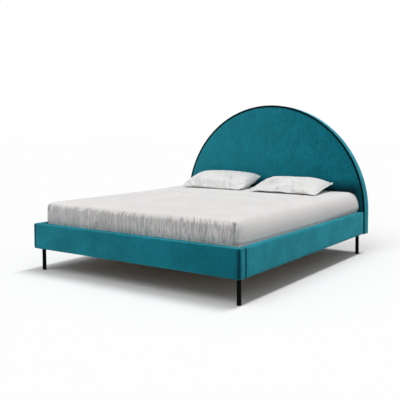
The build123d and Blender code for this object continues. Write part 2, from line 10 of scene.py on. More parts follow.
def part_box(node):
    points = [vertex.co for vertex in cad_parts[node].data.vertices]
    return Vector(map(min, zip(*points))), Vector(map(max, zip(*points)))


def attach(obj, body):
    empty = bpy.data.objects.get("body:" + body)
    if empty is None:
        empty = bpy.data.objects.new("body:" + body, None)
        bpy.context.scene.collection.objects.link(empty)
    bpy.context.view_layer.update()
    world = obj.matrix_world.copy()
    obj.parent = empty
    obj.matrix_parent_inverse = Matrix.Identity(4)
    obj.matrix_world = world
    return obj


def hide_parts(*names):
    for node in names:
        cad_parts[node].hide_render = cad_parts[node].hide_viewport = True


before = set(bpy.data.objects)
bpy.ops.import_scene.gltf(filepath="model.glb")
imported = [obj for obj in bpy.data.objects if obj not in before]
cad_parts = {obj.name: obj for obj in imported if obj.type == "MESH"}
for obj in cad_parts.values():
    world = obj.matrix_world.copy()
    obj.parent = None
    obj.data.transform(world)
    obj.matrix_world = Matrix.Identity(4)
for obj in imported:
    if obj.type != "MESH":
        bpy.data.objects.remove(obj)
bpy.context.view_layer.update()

mm = 0.001
finishes = {}  # materials by name
asColour = {"data_type": "RGBA"}
softStep = {"interpolation_type": "SMOOTHSTEP"}
waveBand = pi / 10  # what one band of a wave texture takes at scale 1, in metres
noiseLow, noiseHigh = 0.3, 0.7  # where nearly all of a noise lies


# Colours and nodes
def linear(hexCode):  # "#rrggbb" as linear red, green, blue, alpha
    channels = [int(hexCode[i:i + 2], 16) / 255 for i in (1, 3, 5)]
    bent = [c / 12.92 if c <= 0.04045 else ((c + 0.055) / 1.055) ** 2.4 for c in channels]
    return (*bent, 1)


def plugIn(node, inputs):  # each input gets a value, an output, or a node's first output
    for socket, value in inputs.items():
        if isinstance(value, bpy.types.Node):
            value = next(output for output in value.outputs if output.enabled)
        if isinstance(value, bpy.types.NodeSocket):
            node.id_data.links.new(value, node.inputs[socket])
        else:
            node.inputs[socket].default_value = value
    return node


def addNode(tree, kind, inputs=None, **settings):  # one node with its settings, values and links
    node = tree.nodes.new(kind if "Node" in kind else "ShaderNode" + kind)
    for name, value in settings.items():
        setattr(node, name, value)
    return plugIn(node, inputs or {})


def startMaterial(name):
    material = bpy.data.materials.new(name)
    material.use_nodes = True
    finishes[name] = material
    add = partial(addNode, material.node_tree)
    return add, material.node_tree.nodes["Principled BSDF"], add("TexCoord").outputs["Object"]


def finishMaterial(shader, pattern, low, high, relief, strength, depth, inputs):
    # the pattern leads from one colour to the other, and the relief shades the surface
    add = partial(addNode, shader.id_data)
    colour = add("Mix", {0: pattern, 6: linear(low), 7: linear(high)}, **asColour)
    bump = add("Bump", {"Height": relief, "Strength": strength, "Distance": depth})
    plugIn(shader, {"Base Color": colour, "Normal": bump, **inputs})


# Cloths
velvetLook = {
    "deep": "#046A7B",  # looking straight into the pile: the darkest colour of the painted sheen
    "lit": "#2F97A8",  # looking along the pile, where its tips catch the light: the lightest colour of the painted sheen
    "paintedSideLight": "#2E9AAA",  # painted light: the headboard lighter towards its left, where more light falls
    "paintedShade": "#01141C",  # painted shade: dark in the seams, round rail bends that face the eye, along the rail tops and low on the headboard
    "sheenTint": "#5FC6D2",
    "sheen": 0.25,
    "sheenRoughness": 0.35,
    "napLength": 50 * mm,  # one brushed mark
    "napWidth": 18 * mm,
    "upright": 0.09,  # how much the upright marks lighten or darken
    "level": 0.06,
    "cloud": 190 * mm,
    "cloudShades": (0.88, 1.11),
    "railShare": 0.8,  # of the marks: fainter on the rails than on the headboard, which people lean on
    "headShare": 1.8,
    "markHeights": (380 * mm, 600 * mm),
    "pile": 1.6 * mm,
}


def tealVelvet():  # polyester velvet, woven with a cut pile: soft patches where a hand brushed it
    look = velvetLook
    add, shader, place = startMaterial("tealVelvet")
    width, length = 1 / look["napWidth"], 1 / look["napLength"]
    shade = 1.0
    for scale, change in (((length, length, width), "level"), ((width, width, length), "upright")):
        turned = add("Mapping", {"Vector": place, "Scale": scale})
        marks = add("TexNoise", {
            "Vector": turned, "Scale": 1.0, "Detail": 2.0, "Roughness": 0.6})
        reach = {0: marks, 1: noiseLow, 2: noiseHigh, 3: 1 - look[change], 4: 1 + look[change]}
        mark = add("MapRange", reach, **softStep)
        shade = add("Math", {0: shade, 1: mark}, operation="MULTIPLY")
    height = add("SeparateXYZ", {0: place}).outputs["Z"]
    low, high = look["markHeights"]
    reach = {0: height, 1: low, 2: high, 3: look["railShare"], 4: look["headShare"]}
    share = add("MapRange", reach, **softStep)
    shade = add("Math", {0: shade, 1: share}, operation="POWER")
    clouds = add("TexNoise", {"Vector": place, "Scale": 1 / look["cloud"], "Detail": 3.0})
    low, high = look["cloudShades"]
    reach = {0: clouds, 1: noiseLow, 2: noiseHigh, 3: low, 4: high}
    cloud = add("MapRange", reach, **softStep)
    shade = add("Math", {0: shade, 1: cloud}, operation="MULTIPLY")
    grey = add("CombineColor", {0: shade, 1: shade, 2: shade})
    # painted sheen: the base colour runs from deep to lit as the surface turns away from the eye
    facing = add("LayerWeight", {"Blend": 0.5}).outputs["Facing"]
    paintedSheen = add("MapRange", {0: facing, 1: 0.02, 2: 0.62}, **softStep)
    colours = {0: paintedSheen, 6: linear(look["deep"]), 7: linear(look["lit"])}
    colour = add("Mix", colours, **asColour)
    colour = add("Mix", {0: 1.0, 6: colour, 7: grey}, blend_type="MULTIPLY", **asColour)
    # painted light and painted shade, mixed in by the shares painted on each piece
    for name in ("paintedSideLight", "paintedShade"):
        share = add("Attribute", attribute_name=name).outputs["Fac"]
        colour = add("Mix", {0: share, 6: colour, 7: linear(look[name])}, **asColour)
    pile = add("TexNoise", {"Vector": place, "Scale": 1 / look["pile"], "Detail": 2.0})
    relief = add("Math", {0: pile, 1: 0.4, 2: marks}, operation="MULTIPLY_ADD")
    bump = add("Bump", {"Height": relief, "Strength": 0.3, "Distance": 0.6 * mm})
    plugIn(shader, {
        "Base Color": colour, "Normal": bump, "Roughness": 0.92, "Specular IOR Level": 0.12,
        "Sheen Weight": look["sheen"], "Sheen Roughness": look["sheenRoughness"],
        "Sheen Tint": linear(look["sheenTint"])})


pipingLook = {"thread": "#03171C", "valley": "#01090B", "rib": 6.91 * mm}  # one light or dark rib, across


def pipingSatin():  # satin tube sewn over a cotton cord: dark, with a soft gleam along its length
    look = pipingLook
    add, shader, place = startMaterial("pipingSatin")
    ribs = add("TexWave", {
        "Vector": place, "Scale": waveBand / look["rib"], "Distortion": 1.2, "Detail Scale": 4.0},
        bands_direction="DIAGONAL").outputs["Fac"]
    finishMaterial(shader, ribs, look["valley"], look["thread"], ribs, 0.25, 0.3 * mm, {
        "Roughness": 0.6, "Specular IOR Level": 0.03})


cottonLook = {
    "pitch": 9.425 * mm,  # drawn about thirty times as coarse as percale, so that the weave shows at all
    "cloud": 200 * mm,
    "crease": 90 * mm,
    "creaseScale": (1, 3.6, 2),
    "creaseTurn": -0.7,
}


def cottonPercale(name, gap, thread, creaseDepth):  # bleached cotton percale: matt, crisp, finely creased
    look = cottonLook
    add, shader, place = startMaterial(name)
    weave = 1.0
    for direction in ("X", "Y"):
        threads = add("TexWave", {
            "Vector": place, "Scale": waveBand / look["pitch"], "Distortion": 0.6, "Detail": 1.0},
            bands_direction=direction).outputs["Fac"]
        weave = add("Math", {0: weave, 1: threads}, operation="MULTIPLY")
    cloud = add("TexNoise", {"Vector": place, "Scale": 1 / look["cloud"], "Detail": 3.0})
    tone = add("Mix", {0: 0.85, 2: weave, 3: cloud})
    tone = add("MapRange", {0: tone, 1: 0.15, 2: 0.85}, **softStep)
    turned = add("Mapping", {
        "Vector": place, "Scale": [s / look["crease"] for s in look["creaseScale"]],
        "Rotation": (0, 0, look["creaseTurn"])})
    creases = add("TexNoise", {
        "Vector": turned, "Scale": 1.0, "Detail": 3.0, "Roughness": 0.55, "Distortion": 0.4})
    relief = add("Math", {0: weave, 1: 0.006, 2: creases}, operation="MULTIPLY_ADD")
    finishMaterial(shader, tone, gap, thread, relief, 0.5, creaseDepth, {
        "Roughness": 0.85, "Specular IOR Level": 0.25, "Sheen Weight": 0.08})


tickingLook = {"cloth": "#D6D2C8", "seam": "#B9B4A8", "diamond": 70 * mm}


def quiltedTicking():  # knitted polyester ticking, quilted in diamonds: soft hollows along the stitching, with painted shade in them
    look = tickingLook
    add, shader, place = startMaterial("quiltedTicking")
    diamonds = 1.0
    for turn in (radians(45), radians(-45)):
        turned = add("Mapping", {"Vector": place, "Rotation": (0, 0, turn)})
        lines = add("TexWave", {
            "Vector": turned, "Scale": waveBand / look["diamond"]}, bands_direction="X").outputs["Fac"]
        diamonds = add("Math", {0: diamonds, 1: lines}, operation="MULTIPLY")
    # painted shade: darker along the quilting lines, in the hollows
    hollowShade = add("MapRange", {0: diamonds, 1: 0.0, 2: 0.25}, **softStep)
    finishMaterial(shader, hollowShade, look["seam"], look["cloth"], diamonds, 0.6, 4 * mm, {
        "Roughness": 0.9})


dustLook = {"cloth": "#161617", "dot": "#0B0B0C", "dotPitch": 2.5 * mm}


def spunDustCloth():  # black spunbond cloth, heat-embossed with small dots
    look = dustLook
    add, shader, place = startMaterial("spunDustCloth")
    dots = add("TexVoronoi", {
        "Vector": place, "Scale": 1 / look["dotPitch"], "Randomness": 0.1})
    level = add("MapRange", {0: dots, 1: 0.1, 2: 0.5}, **softStep)
    finishMaterial(shader, level, look["dot"], look["cloth"], dots, 0.4, 0.3 * mm, {
        "Roughness": 0.88})


# Wood, steel and plastic
fineGrain, longGrain = 1 / (9 * mm), 1 / (260 * mm)
woodLooks = {  # dark and pale growth, grain along each axis, roughness
    "pineAlongY": ("#A87B4C", "#C9A272", (fineGrain, longGrain, fineGrain), 0.65),
    "pineAlongX": ("#A87B4C", "#C9A272", (longGrain, fineGrain, fineGrain), 0.65),
    "birchSlat": ("#C09A68", "#D9B98A", (longGrain, fineGrain, fineGrain), 0.35),
    "birchPlywood": ("#B08E60", "#CDAE80", (fineGrain, fineGrain, longGrain), 0.55),
}


def sawnWood(name, dark, pale, grain, roughness):  # planed or lacquered: long grain, soft growth bands
    add, shader, place = startMaterial(name)
    along = add("Mapping", {"Vector": place, "Scale": grain})
    bands = add("TexNoise", {
        "Vector": along, "Scale": 1.0, "Detail": 4.0, "Distortion": 0.6})
    fibres = add("TexNoise", {"Vector": along, "Scale": 6.0, "Detail": 3.0})
    mixed = add("Mix", {0: 0.3, 2: bands, 3: fibres})
    level = add("MapRange", {0: mixed, 1: 0.35, 2: 0.65}, **softStep)
    finishMaterial(shader, level, dark, pale, mixed, 0.2, 0.4 * mm, {"Roughness": roughness})


def coatedSteel():  # black polyester powder coat on steel: satin, with a faint orange peel
    add, shader, place = startMaterial("powderCoatedSteel")
    peel = add("TexNoise", {"Vector": place, "Scale": 1 / (1.5 * mm), "Detail": 2.0})
    satin = add("MapRange", {0: peel, 1: noiseLow, 2: noiseHigh, 3: 0.5, 4: 0.6}, **softStep)
    finishMaterial(shader, peel, "#030303", "#080809", peel, 0.2, 0.1 * mm, {
        "Roughness": satin, "Specular IOR Level": 0.05})


def zincPlate():  # bright zinc plate on screws and brackets: pale grey metal with cloudy spangle
    add, shader, place = startMaterial("zincPlatedSteel")
    cells = add("TexVoronoi", {"Vector": place, "Scale": 1 / (7 * mm)})
    spangle = add("SeparateColor", {0: cells.outputs["Color"]})
    colour = add("Mix", {
        0: spangle, 6: linear("#A9ABAB"), 7: linear("#C9CBCB")}, **asColour)
    roughness = add("MapRange", {0: spangle, 3: 0.3, 4: 0.42}, **softStep)
    plugIn(shader, {"Base Color": colour, "Roughness": roughness, "Metallic": 1.0})


def mouldedPlastic():  # black polypropylene, spark-eroded mould: matt with a fine even texture
    add, shader, place = startMaterial("mouldedPolypropylene")
    spark = add("TexNoise", {"Vector": place, "Scale": 1 / (0.9 * mm), "Detail": 1.0})
    finishMaterial(shader, spark, "#0B0B0B", "#141414", spark, 0.3, 0.1 * mm, {"Roughness": 0.6})


tealVelvet()
pipingSatin()
cottonPercale("sheetPercale", "#D8D6D5", "#E1DFDE", 2.0 * mm)
cottonPercale("pillowPercale", "#D9D8D7", "#E3E2E1", 1.5 * mm)
quiltedTicking()
spunDustCloth()
for woodName, woodLook in woodLooks.items():
    sawnWood(woodName, *woodLook)
coatedSteel()
zincPlate()
mouldedPlastic()
print("materials made")

nodeFinishes = {  # which nodes of the frame each finish goes on
    "pineAlongY": "side_rail_*_board",
    "pineAlongX": "foot_rail_board headboard_lower_board headboard_battens",
    "birchSlat": "slats_*",
    "birchPlywood": "headboard_rim headboard_*_panel",
    "powderCoatedSteel":
        "leg_front_* leg_rear_* slat_ledge_* centre_beam beam_pocket_* centre_leg_front centre_leg_rear",
    "zincPlatedSteel": "*_bracket_* rail_bolts *_screws centre_foot_locknuts",
    "mouldedPolypropylene": "leg_glides centre_foot_front centre_foot_rear slat_caps_*",
}
for nodeName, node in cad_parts.items():
    for finish, patterns in nodeFinishes.items():
        if any(fnmatch(nodeName, pattern) for pattern in patterns.split()):
            node.data.materials.clear()
            node.data.materials.append(finishes[finish])


# Mesh helpers
def addObject(name, data):
    placed = bpy.data.objects.new(name, data)
    bpy.context.collection.objects.link(placed)
    return placed


def meshPiece(name, points, faces, finish):
    mesh = bpy.data.meshes.new(name)
    mesh.from_pydata(points, [], faces)
    mesh.materials.append(finishes[finish])
    mesh.shade_smooth()
    return addObject(name, mesh)


def gridFaces(rows, columns, closed=False, skip=None):  # quads between rows of points
    faces = []
    for i in range(rows - 1):
        here, there = i * columns, (i + 1) * columns
        for j in range(columns if closed else columns - 1):
            k = (j + 1) % columns
            if skip is None or not skip(i, j):
                faces.append((here + j, here + k, there + k, there + j))
    return faces


def outwardFaces(piece):
    shape = bmesh.new()
    shape.from_mesh(piece.data)
    bmesh.ops.remove_doubles(shape, verts=shape.verts, dist=1e-6)
    bmesh.ops.recalc_face_normals(shape, faces=shape.faces)
    shape.to_mesh(piece.data)
    shape.free()
    piece.data.shade_smooth()


def thicken(piece, thickness):  # cloth thickness, towards the inside
    wall = piece.modifiers.new("clothThickness", "SOLIDIFY")
    wall.thickness = thickness
    wall.offset = -1


def paintShading(piece, name, values):  # one value a point: how much painted light or painted shade the velvet gets there
    piece.data.attributes.new(name, "FLOAT", "POINT").data.foreach_set("value", values)


def settle(piece, body, slotName, *replaced):
    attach(piece, body)
    if replaced:
        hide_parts(*replaced)


def ease(value, low, high):  # smooth step from 0 at low to 1 at high
    share = min(1, max(0, (value - low) / (high - low)))
    return share * share * (3 - 2 * share)


def bell(away, width):  # 1 at the place itself, fading on both sides
    return exp(-(away / width) ** 2)


def waver(x, y, z=0.0):  # the same smooth ups and downs each run, between about -1 and 1
    return noise.noise(Vector((x, y, z)))


# Rails
railValues = {
    "frontRound": 11 * mm,
    "rearRound": 4.5 * mm,
    "returnBottom": 40 * mm,
    "returnTop": 60 * mm,
    "step": 22 * mm,
    "crown": 2.0 * mm,
    "waver": 0.7 * mm,
    "cloth": 2 * mm,
    "seamRound": 16 * mm,  # where the side rail butts behind the foot rail
    "cordRound": 12 * mm,  # and in front of the piping
    # strength of the painted shade round the bends and in the seams
    "paintedShade": 0.9,
    "topShade": 0.3,  # lighter painted shade along the top
    "bendShadePlace": -3 * mm,  # where the painted dark band round the front bend sits: from the end of the flat face, along the bend
    "bendShadeWidth": 11 * mm,
    # painted shade in the seams grows over this much of the bend
    "seamFade": 9 * mm,
    "crownRun": 60 * mm,
    "bendSteps": 6,
    "endRings": (18 * mm, 21 * mm, 25 * mm),
    "endRun": 30 * mm,
}


def roundedSection(low, high, outerSign):  # a closed section: across, up, normal across, normal up
    rail = railValues
    (a0, b0), (a1, b1) = low, high
    r0, r1 = (rail["rearRound"], rail["frontRound"])[::outerSign]
    knots = [b0 + rail["returnBottom"], b1 - rail["returnTop"]]
    section = []

    def run(start, end, normal, inner=False):
        length = dist(start, end)
        count = round(length / rail["step"])
        shares = [i / count for i in range(1, count)]
        shares += [abs(knot - start[1]) / length for knot in knots if inner]
        for share in sorted(shares):
            section.append((
                start[0] + (end[0] - start[0]) * share, start[1] + (end[1] - start[1]) * share, *normal))

    def corner(a, b, radius, startAngle):
        for i in range(rail["bendSteps"] + 1):
            angle = startAngle + pi / 2 * i / rail["bendSteps"]
            section.append((
                a + radius * cos(angle), b + radius * sin(angle), cos(angle), sin(angle)))

    corner(a1 - r1, b0 + r1, r1, -pi / 2)
    run((a1, b0 + r1), (a1, b1 - r1), (1, 0), outerSign < 0)
    corner(a1 - r1, b1 - r1, r1, 0)
    run((a1 - r1, b1), (a0 + r0, b1), (0, 1))
    corner(a0 + r0, b1 - r0, r0, pi / 2)
    run((a0, b1 - r0), (a0, b0 + r0), (-1, 0), outerSign > 0)
    corner(a0 + r0, b0 + r0, r0, pi)
    run((a0 + r0, b0), (a1 - r1, b0), (0, -1))
    return section


def railCover(name, low, high, ends, windowSpan, place, outerSign, endRounds):
    # outerSign says which side across is the outer one; in the window the cover doesn't close inside
    rail = railValues
    section = roundedSection(low, high, outerSign)
    a0, a1 = low[0], high[0]
    middle, half = (low[1] + high[1]) / 2, (high[1] - low[1]) / 2
    start, end = ends
    count = round((end - start) / rail["step"])
    stations = [start + (end - start) * i / count for i in range(1, count)]
    stations += [knot for knot in windowSpan if start < knot < end]
    near, clear = rail["endRings"], rail["endRun"]
    bends = [pi / 2 * i / rail["bendSteps"] for i in range(rail["bendSteps"] + 1)]
    rings = [("start", turn) for turn in reversed(bends)] + [("run", start + k) for k in near]
    rings += [("run", s) for s in sorted(stations) if start + clear < s < end - clear]
    rings += [("run", end - k) for k in reversed(near)] + [("end", turn) for turn in bends]
    points, shadeShares, centres = [], [], []
    for kind, turn in rings:
        for a, b, na, nb in section:
            share = (a - a0) / (a1 - a0)
            outer = share if outerSign > 0 else 1 - share
            inner, outside = endRounds[kind == "end" or (kind == "run" and turn > (start + end) / 2)]
            radius = inner * (1 - outer) + outside * outer
            if kind == "run":
                s, inset = turn, 0.0
                bend = -(min(s - start, end - s) - radius)
            else:
                reach = radius * (1 - sin(turn))
                s = start + reach if kind == "start" else end - reach
                inset = radius * (1 - cos(turn))
                bend = radius * turn
            # painted shade: a dark band where the front bend faces the eye, and darker round the ends that
            # meet in seams
            if outside == rail["frontRound"]:
                bendShade = bell(bend - rail["bendShadePlace"], rail["bendShadeWidth"]) * outer
            else:
                bendShade = ease(bend, 0, rail["seamFade"]) * outer
            puff = 0.0
            if na * outerSign > 0.3:
                puff = rail["crown"] * (1 - abs((b - middle) / half) ** 3)
                puff *= ease(min(s - start, end - s), 0, rail["crownRun"])
            away = na * outerSign > -0.3
            puff += rail["waver"] * waver(3.2 * s, 9 * b, 4 * a) * away
            points.append(place(a + na * (puff - inset), s, b + nb * (puff * away - inset)))
            # painted shade round the bends, and lighter painted shade on the top
            atBend = min(1, bendShade) * abs(na) ** 0.5 * rail["paintedShade"]
            shadeShares.append(max(atBend, rail["topShade"] * max(0, nb)))
            centres.append((b, s, na * outerSign))
    columns = len(section)

    def inWindow(i, j):
        here, there = centres[i * columns + j], centres[(i + 1) * columns + (j + 1) % columns]
        b, s = (here[0] + there[0]) / 2, (here[1] + there[1]) / 2
        inside = low[1] + rail["returnBottom"] < b < high[1] - rail["returnTop"]
        return inside and here[2] < -0.9 and there[2] < -0.9 and windowSpan[0] < s < windowSpan[1]

    faces = gridFaces(len(rings), columns, True, inWindow)
    last = (len(rings) - 1) * columns
    faces.append(tuple(range(columns)))
    faces.append(tuple(reversed(range(last, last + columns))))
    piece = meshPiece(name, points, faces, "tealVelvet")
    paintShading(piece, "paintedShade", shadeShares)
    outwardFaces(piece)
    thicken(piece, rail["cloth"])
    return piece


def makeRails():
    rail = railValues
    for side, sign in (("right", 1), ("left", -1)):
        low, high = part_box(f"side_rail_{side}_cover")
        ends = (low.y, high.y)
        inner, outer = sorted((abs(low.x), abs(high.x)))
        section = (inner, low.z), (outer, high.z)
        piece = railCover(
            f"sideRailCover_{side}", *section, ends, (ends[0] - 1, ends[1] + 1),
            lambda a, s, b, sign=sign: (sign * a, s, b), 1,
            ((rail["rearRound"], rail["seamRound"]), (rail["rearRound"], rail["cordRound"])))
        settle(piece, "frame", "velvet", f"side_rail_{side}_cover", f"side_rail_{side}_foam")
    low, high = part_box("foot_rail_cover")
    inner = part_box("side_rail_right_board")[0].x
    piece = railCover(
        "footRailCover", (low.y, low.z), (high.y, high.z), (low.x, high.x), (-inner, inner),
        lambda a, s, b: (s, a, b), -1, ((rail["rearRound"], rail["frontRound"]),) * 2)
    settle(piece, "frame", "velvet", "foot_rail_cover", "foot_rail_foam")


# Headboard
pipingLow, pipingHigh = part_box("headboard_piping")
headValues = {
    "half": pipingHigh.x + 3 * mm,  # as stuffed
    "bottom": pipingLow.z,
    "springing": pipingHigh.z - pipingHigh.x,  # height at which the half circle starts
    "front": pipingLow.y,
    "cord": pipingHigh.y - pipingLow.y,
    "cordSwell": 1.3,  # the piping as sewn, against its drawn size
    "cordTuck": 1 * mm,
    "edgeRoll": 45 * mm,
    "edgeDepth": 7 * mm,
    "crown": 2.5 * mm,
    "waver": 1.0 * mm,
    "cloth": 2 * mm,
    "seamShade": 12 * mm,
    "borderCrown": 3.8 * mm,
    "borderRound": 6 * mm,
    "borderStand": 7 * mm,  # how much fuller the band is low down at the back
    "borderFlange": 18 * mm,
    # painted light on the headboard, strongest at its left
    "paintedSideLight": 0.28,
    "paintedLowShade": 0.95,  # painted shade low down, where mattress and pillows shade it
    "lowShadeFrom": 530 * mm,
    "lowShadeTo": 680 * mm,
    "lowShadeSides": (840 * mm, 930 * mm),
    "borderRuns": 12,
    "borderBends": 4,
    "columns": 120,
    "rows": 70,
    "pathStep": 14 * mm,
    "cordSides": 14,
}


def archHeight(x, half):  # top of the outline above one place across
    return headValues["springing"] + sqrt(max(0, half * half - x * x))


def archDistance(x, z, half, base):  # distance inwards from the nearest edge of the outline
    sides = half - (abs(x) if z < headValues["springing"] else hypot(x, z - headValues["springing"]))
    return max(0, min(sides, z - base))


def archPath(half, base, step):  # point and normal, up the right side, over the top and down the left
    springing = headValues["springing"]
    stations = []
    rise = springing - base
    count = max(2, round(rise / step))
    stations += [((half, base + rise * i / count), (1, 0)) for i in range(count)]
    turns = round(pi * half / step)
    for i in range(turns + 1):
        angle = pi * i / turns
        normal = (cos(angle), sin(angle))
        stations.append(((half * normal[0], springing + half * normal[1]), normal))
    stations += [((-half, springing - rise * i / count), (-1, 0)) for i in range(1, count + 1)]
    return stations


def archSlab(name, half, base, frontDepth, backDepth, finish):
    columns, rows = headValues["columns"], headValues["rows"]
    points = []
    for depth in (frontDepth, backDepth):
        for i in range(columns + 1):
            x = half * sin(pi / 2 * (2 * i / columns - 1))
            top = archHeight(x, half)
            for j in range(rows + 1):
                z = base + (top - base) * (1 - (1 - j / rows) ** 1.15)
                points.append((x, depth(x, z), z))
    layer = (columns + 1) * (rows + 1)
    sheet = gridFaces(columns + 1, rows + 1)
    faces = sheet + [tuple(k + layer for k in reversed(face)) for face in sheet]
    edge = [i * (rows + 1) for i in range(columns + 1)]
    edge += [columns * (rows + 1) + j for j in range(1, rows + 1)]
    edge += [i * (rows + 1) + rows for i in range(columns - 1, -1, -1)]
    edge += range(rows - 1, 0, -1)
    for k, here in enumerate(edge):
        there = edge[(k + 1) % len(edge)]
        faces.append((here, there, there + layer, here + layer))
    piece = meshPiece(name, points, faces, finish)
    outwardFaces(piece)
    return piece


def headboardFront():
    head = headValues
    half = head["half"] - head["cord"] + head["cordTuck"]
    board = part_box("headboard_lower_board")
    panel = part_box("headboard_front_panel")[0].y

    def frontDepth(x, z):
        away = archDistance(x, z, half, head["bottom"])
        roll = 1 - sin(pi / 2 * min(1, away / head["edgeRoll"]))
        puff = head["crown"] * ease(away, 0, 0.25) + head["waver"] * waver(4 * x, 7.3, 3 * z)
        return head["front"] + head["edgeDepth"] * roll - puff * ease(away, 0, 0.05)

    def backDepth(x, z):
        return (board[0].y if z < board[1].z + 2 * mm else panel) - 0.1 * mm

    piece = archSlab("headboardFront", half, head["bottom"], frontDepth, backDepth, "tealVelvet")
    sideLightShares, shadeShares = [], []
    for point in piece.data.vertices:
        x, _, z = point.co
        # painted light, fading from the headboard's left towards its right
        sideLightShares.append(head["paintedSideLight"] * (1 - 0.8 * x / half))
        # painted shade along the seam by the piping, and low down behind the mattress and pillows
        seam = 1 - archDistance(x, z, half, 0) / head["seamShade"]
        lowShadeTo = head["lowShadeTo"] + 20 * mm * waver(5 * x, 3.0)
        lowShade = head["paintedLowShade"] * (1 - ease(z, head["lowShadeFrom"], lowShadeTo))
        lowShade *= 1 - 0.35 * ease(abs(x), *head["lowShadeSides"])
        shadeShares.append(max(0, seam, lowShade))
    paintShading(piece, "paintedSideLight", sideLightShares)
    paintShading(piece, "paintedShade", shadeShares)
    settle(piece, "frame", "velvet", "headboard_front_cover", "headboard_foam")


def headboardBorder():
    head = headValues
    low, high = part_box("headboard_border_cover")
    half = high.x + 2 * mm
    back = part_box("headboard_back_cover")[0].y
    front = head["front"] + head["cord"]
    r = head["borderRound"]
    profile = [(front + deep * mm, out * mm) for deep, out in ((0, -16), (0, -6), (0.4, -2.5), (2, -0.6))]
    for i in range(head["borderRuns"] + 1):
        share = i / head["borderRuns"]
        y = front + 5 * mm + (back - r - front - 5 * mm) * share
        profile.append((y, head["borderCrown"] * sin(pi * share)))
    for i in range(1, head["borderBends"] + 1):
        angle = pi / 2 * i / head["borderBends"]
        profile.append((back - r + r * sin(angle), -r * (1 - cos(angle))))
    profile.append((back, -head["borderFlange"]))
    stations = archPath(half, low.z, head["pathStep"])
    width = 2 * half
    count = round(width / (2 * head["pathStep"]))
    stations += [((-half + width * i / count, low.z), (0, -1)) for i in range(1, count)]
    points, shadeShares = [], []
    for (x, z), (nx, nz) in stations:
        # painted shade along the seam behind the piping
        shadeShares += [max(0, 1 - (y - front) / head["seamShade"]) for y, _ in profile]
        stretch = head["waver"] * 0.6 * waver(6 * x, 2.1, 6 * z)
        for y, out in profile:
            out += stretch if out > -2 * mm else 0
            if -r <= out:
                out += head["borderStand"] * ease(y, front, back) * (1 - ease(z, 0.5, 0.95))
            points.append((x + nx * out, y, z + nz * out))
    rows, columns = len(stations), len(profile)
    faces = gridFaces(rows, columns)
    last = (rows - 1) * columns
    faces += [(last + j, last + j + 1, j + 1, j) for j in range(columns - 1)]
    piece = meshPiece("headboardBorder", points, faces, "tealVelvet")
    paintShading(piece, "paintedShade", shadeShares)
    outwardFaces(piece)
    thicken(piece, head["cloth"])
    settle(piece, "frame", "velvet", "headboard_border_cover", "headboard_border_wadding")


def pipingCord():
    head = headValues
    radius = head["cord"] / 2 * head["cordSwell"]
    path = archPath(head["half"] - head["cord"] / 2 + 0.5 * mm, head["bottom"], head["pathStep"] / 2)
    sides = head["cordSides"]
    points = []
    for (x, z), (nx, nz) in path:
        swell = radius * (1 + 0.02 * waver(30 * x, 5.0, 30 * z))
        for j in range(sides):
            angle = 2 * pi * j / sides
            out, deep = swell * cos(angle), swell * sin(angle)
            points.append((x + nx * out, head["front"] + radius + deep, z + nz * out))
    faces = gridFaces(len(path), sides, True)
    faces.append(tuple(range(sides)))
    faces.append(tuple(reversed(range((len(path) - 1) * sides, len(path) * sides))))
    piece = meshPiece("pipingCord", points, faces, "pipingSatin")
    outwardFaces(piece)
    settle(piece, "frame", "piping", "headboard_piping")


def dustCover():
    low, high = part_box("headboard_back_cover")
    half = high.x

    def outside(x, z):
        away = archDistance(x, z, half, low.z)
        slack = max(0, waver(5 * x, 1.7, 5 * z)) * 1.5 * mm * ease(away, 0.02, 0.12)
        return high.y + slack

    piece = archSlab("dustCover", half, low.z, outside, lambda x, z: low.y, "spunDustCloth")
    settle(piece, "frame", "dust_cover", "headboard_back_cover")


makeRails()
headboardFront()
headboardBorder()
pipingCord()
dustCover()
print("frame covers made")


# Repeated fastenings, by Geometry Nodes
def repeatTree(name, finish):  # a row of small boxes with rounded edges along a path
    tree = bpy.data.node_groups.new(name, "GeometryNodeTree")
    add = partial(addNode, tree)
    face = tree.interface
    face.new_socket("Geometry", in_out="INPUT", socket_type="NodeSocketGeometry")
    for label in ("Pitch", "Length", "Width"):
        face.new_socket(label, in_out="INPUT", socket_type="NodeSocketFloat")
    face.new_socket("Geometry", in_out="OUTPUT", socket_type="NodeSocketGeometry")
    given = add("NodeGroupInput").outputs
    spots = add("GeometryNodeCurveToPoints", {
        "Curve": given["Geometry"], "Length": given["Pitch"]}, mode="LENGTH").outputs
    size = add("CombineXYZ", {
        "X": given["Width"], "Y": given["Width"], "Z": given["Length"]})
    block = add("GeometryNodeMeshCube", {
        "Size": size, "Vertices X": 2, "Vertices Y": 2, "Vertices Z": 4})
    soft = add("GeometryNodeSubdivisionSurface", {"Mesh": block, "Level": 1})
    jitter = add("FunctionNodeRandomValue", {
        "Min": (0, -0.05, -0.05), "Max": (0, 0.05, 0.05), "Seed": 7}, data_type="FLOAT_VECTOR")
    placed = add("GeometryNodeInstanceOnPoints", {
        "Points": spots["Points"], "Instance": soft, "Rotation": spots["Rotation"]})
    swung = add("GeometryNodeRotateInstances", {"Instances": placed, "Rotation": jitter})
    real = add("GeometryNodeRealizeInstances", {"Geometry": swung})
    done = add("GeometryNodeSetMaterial", {"Geometry": real, "Material": finishes[finish]})
    add("NodeGroupOutput", {"Geometry": done})
    return tree


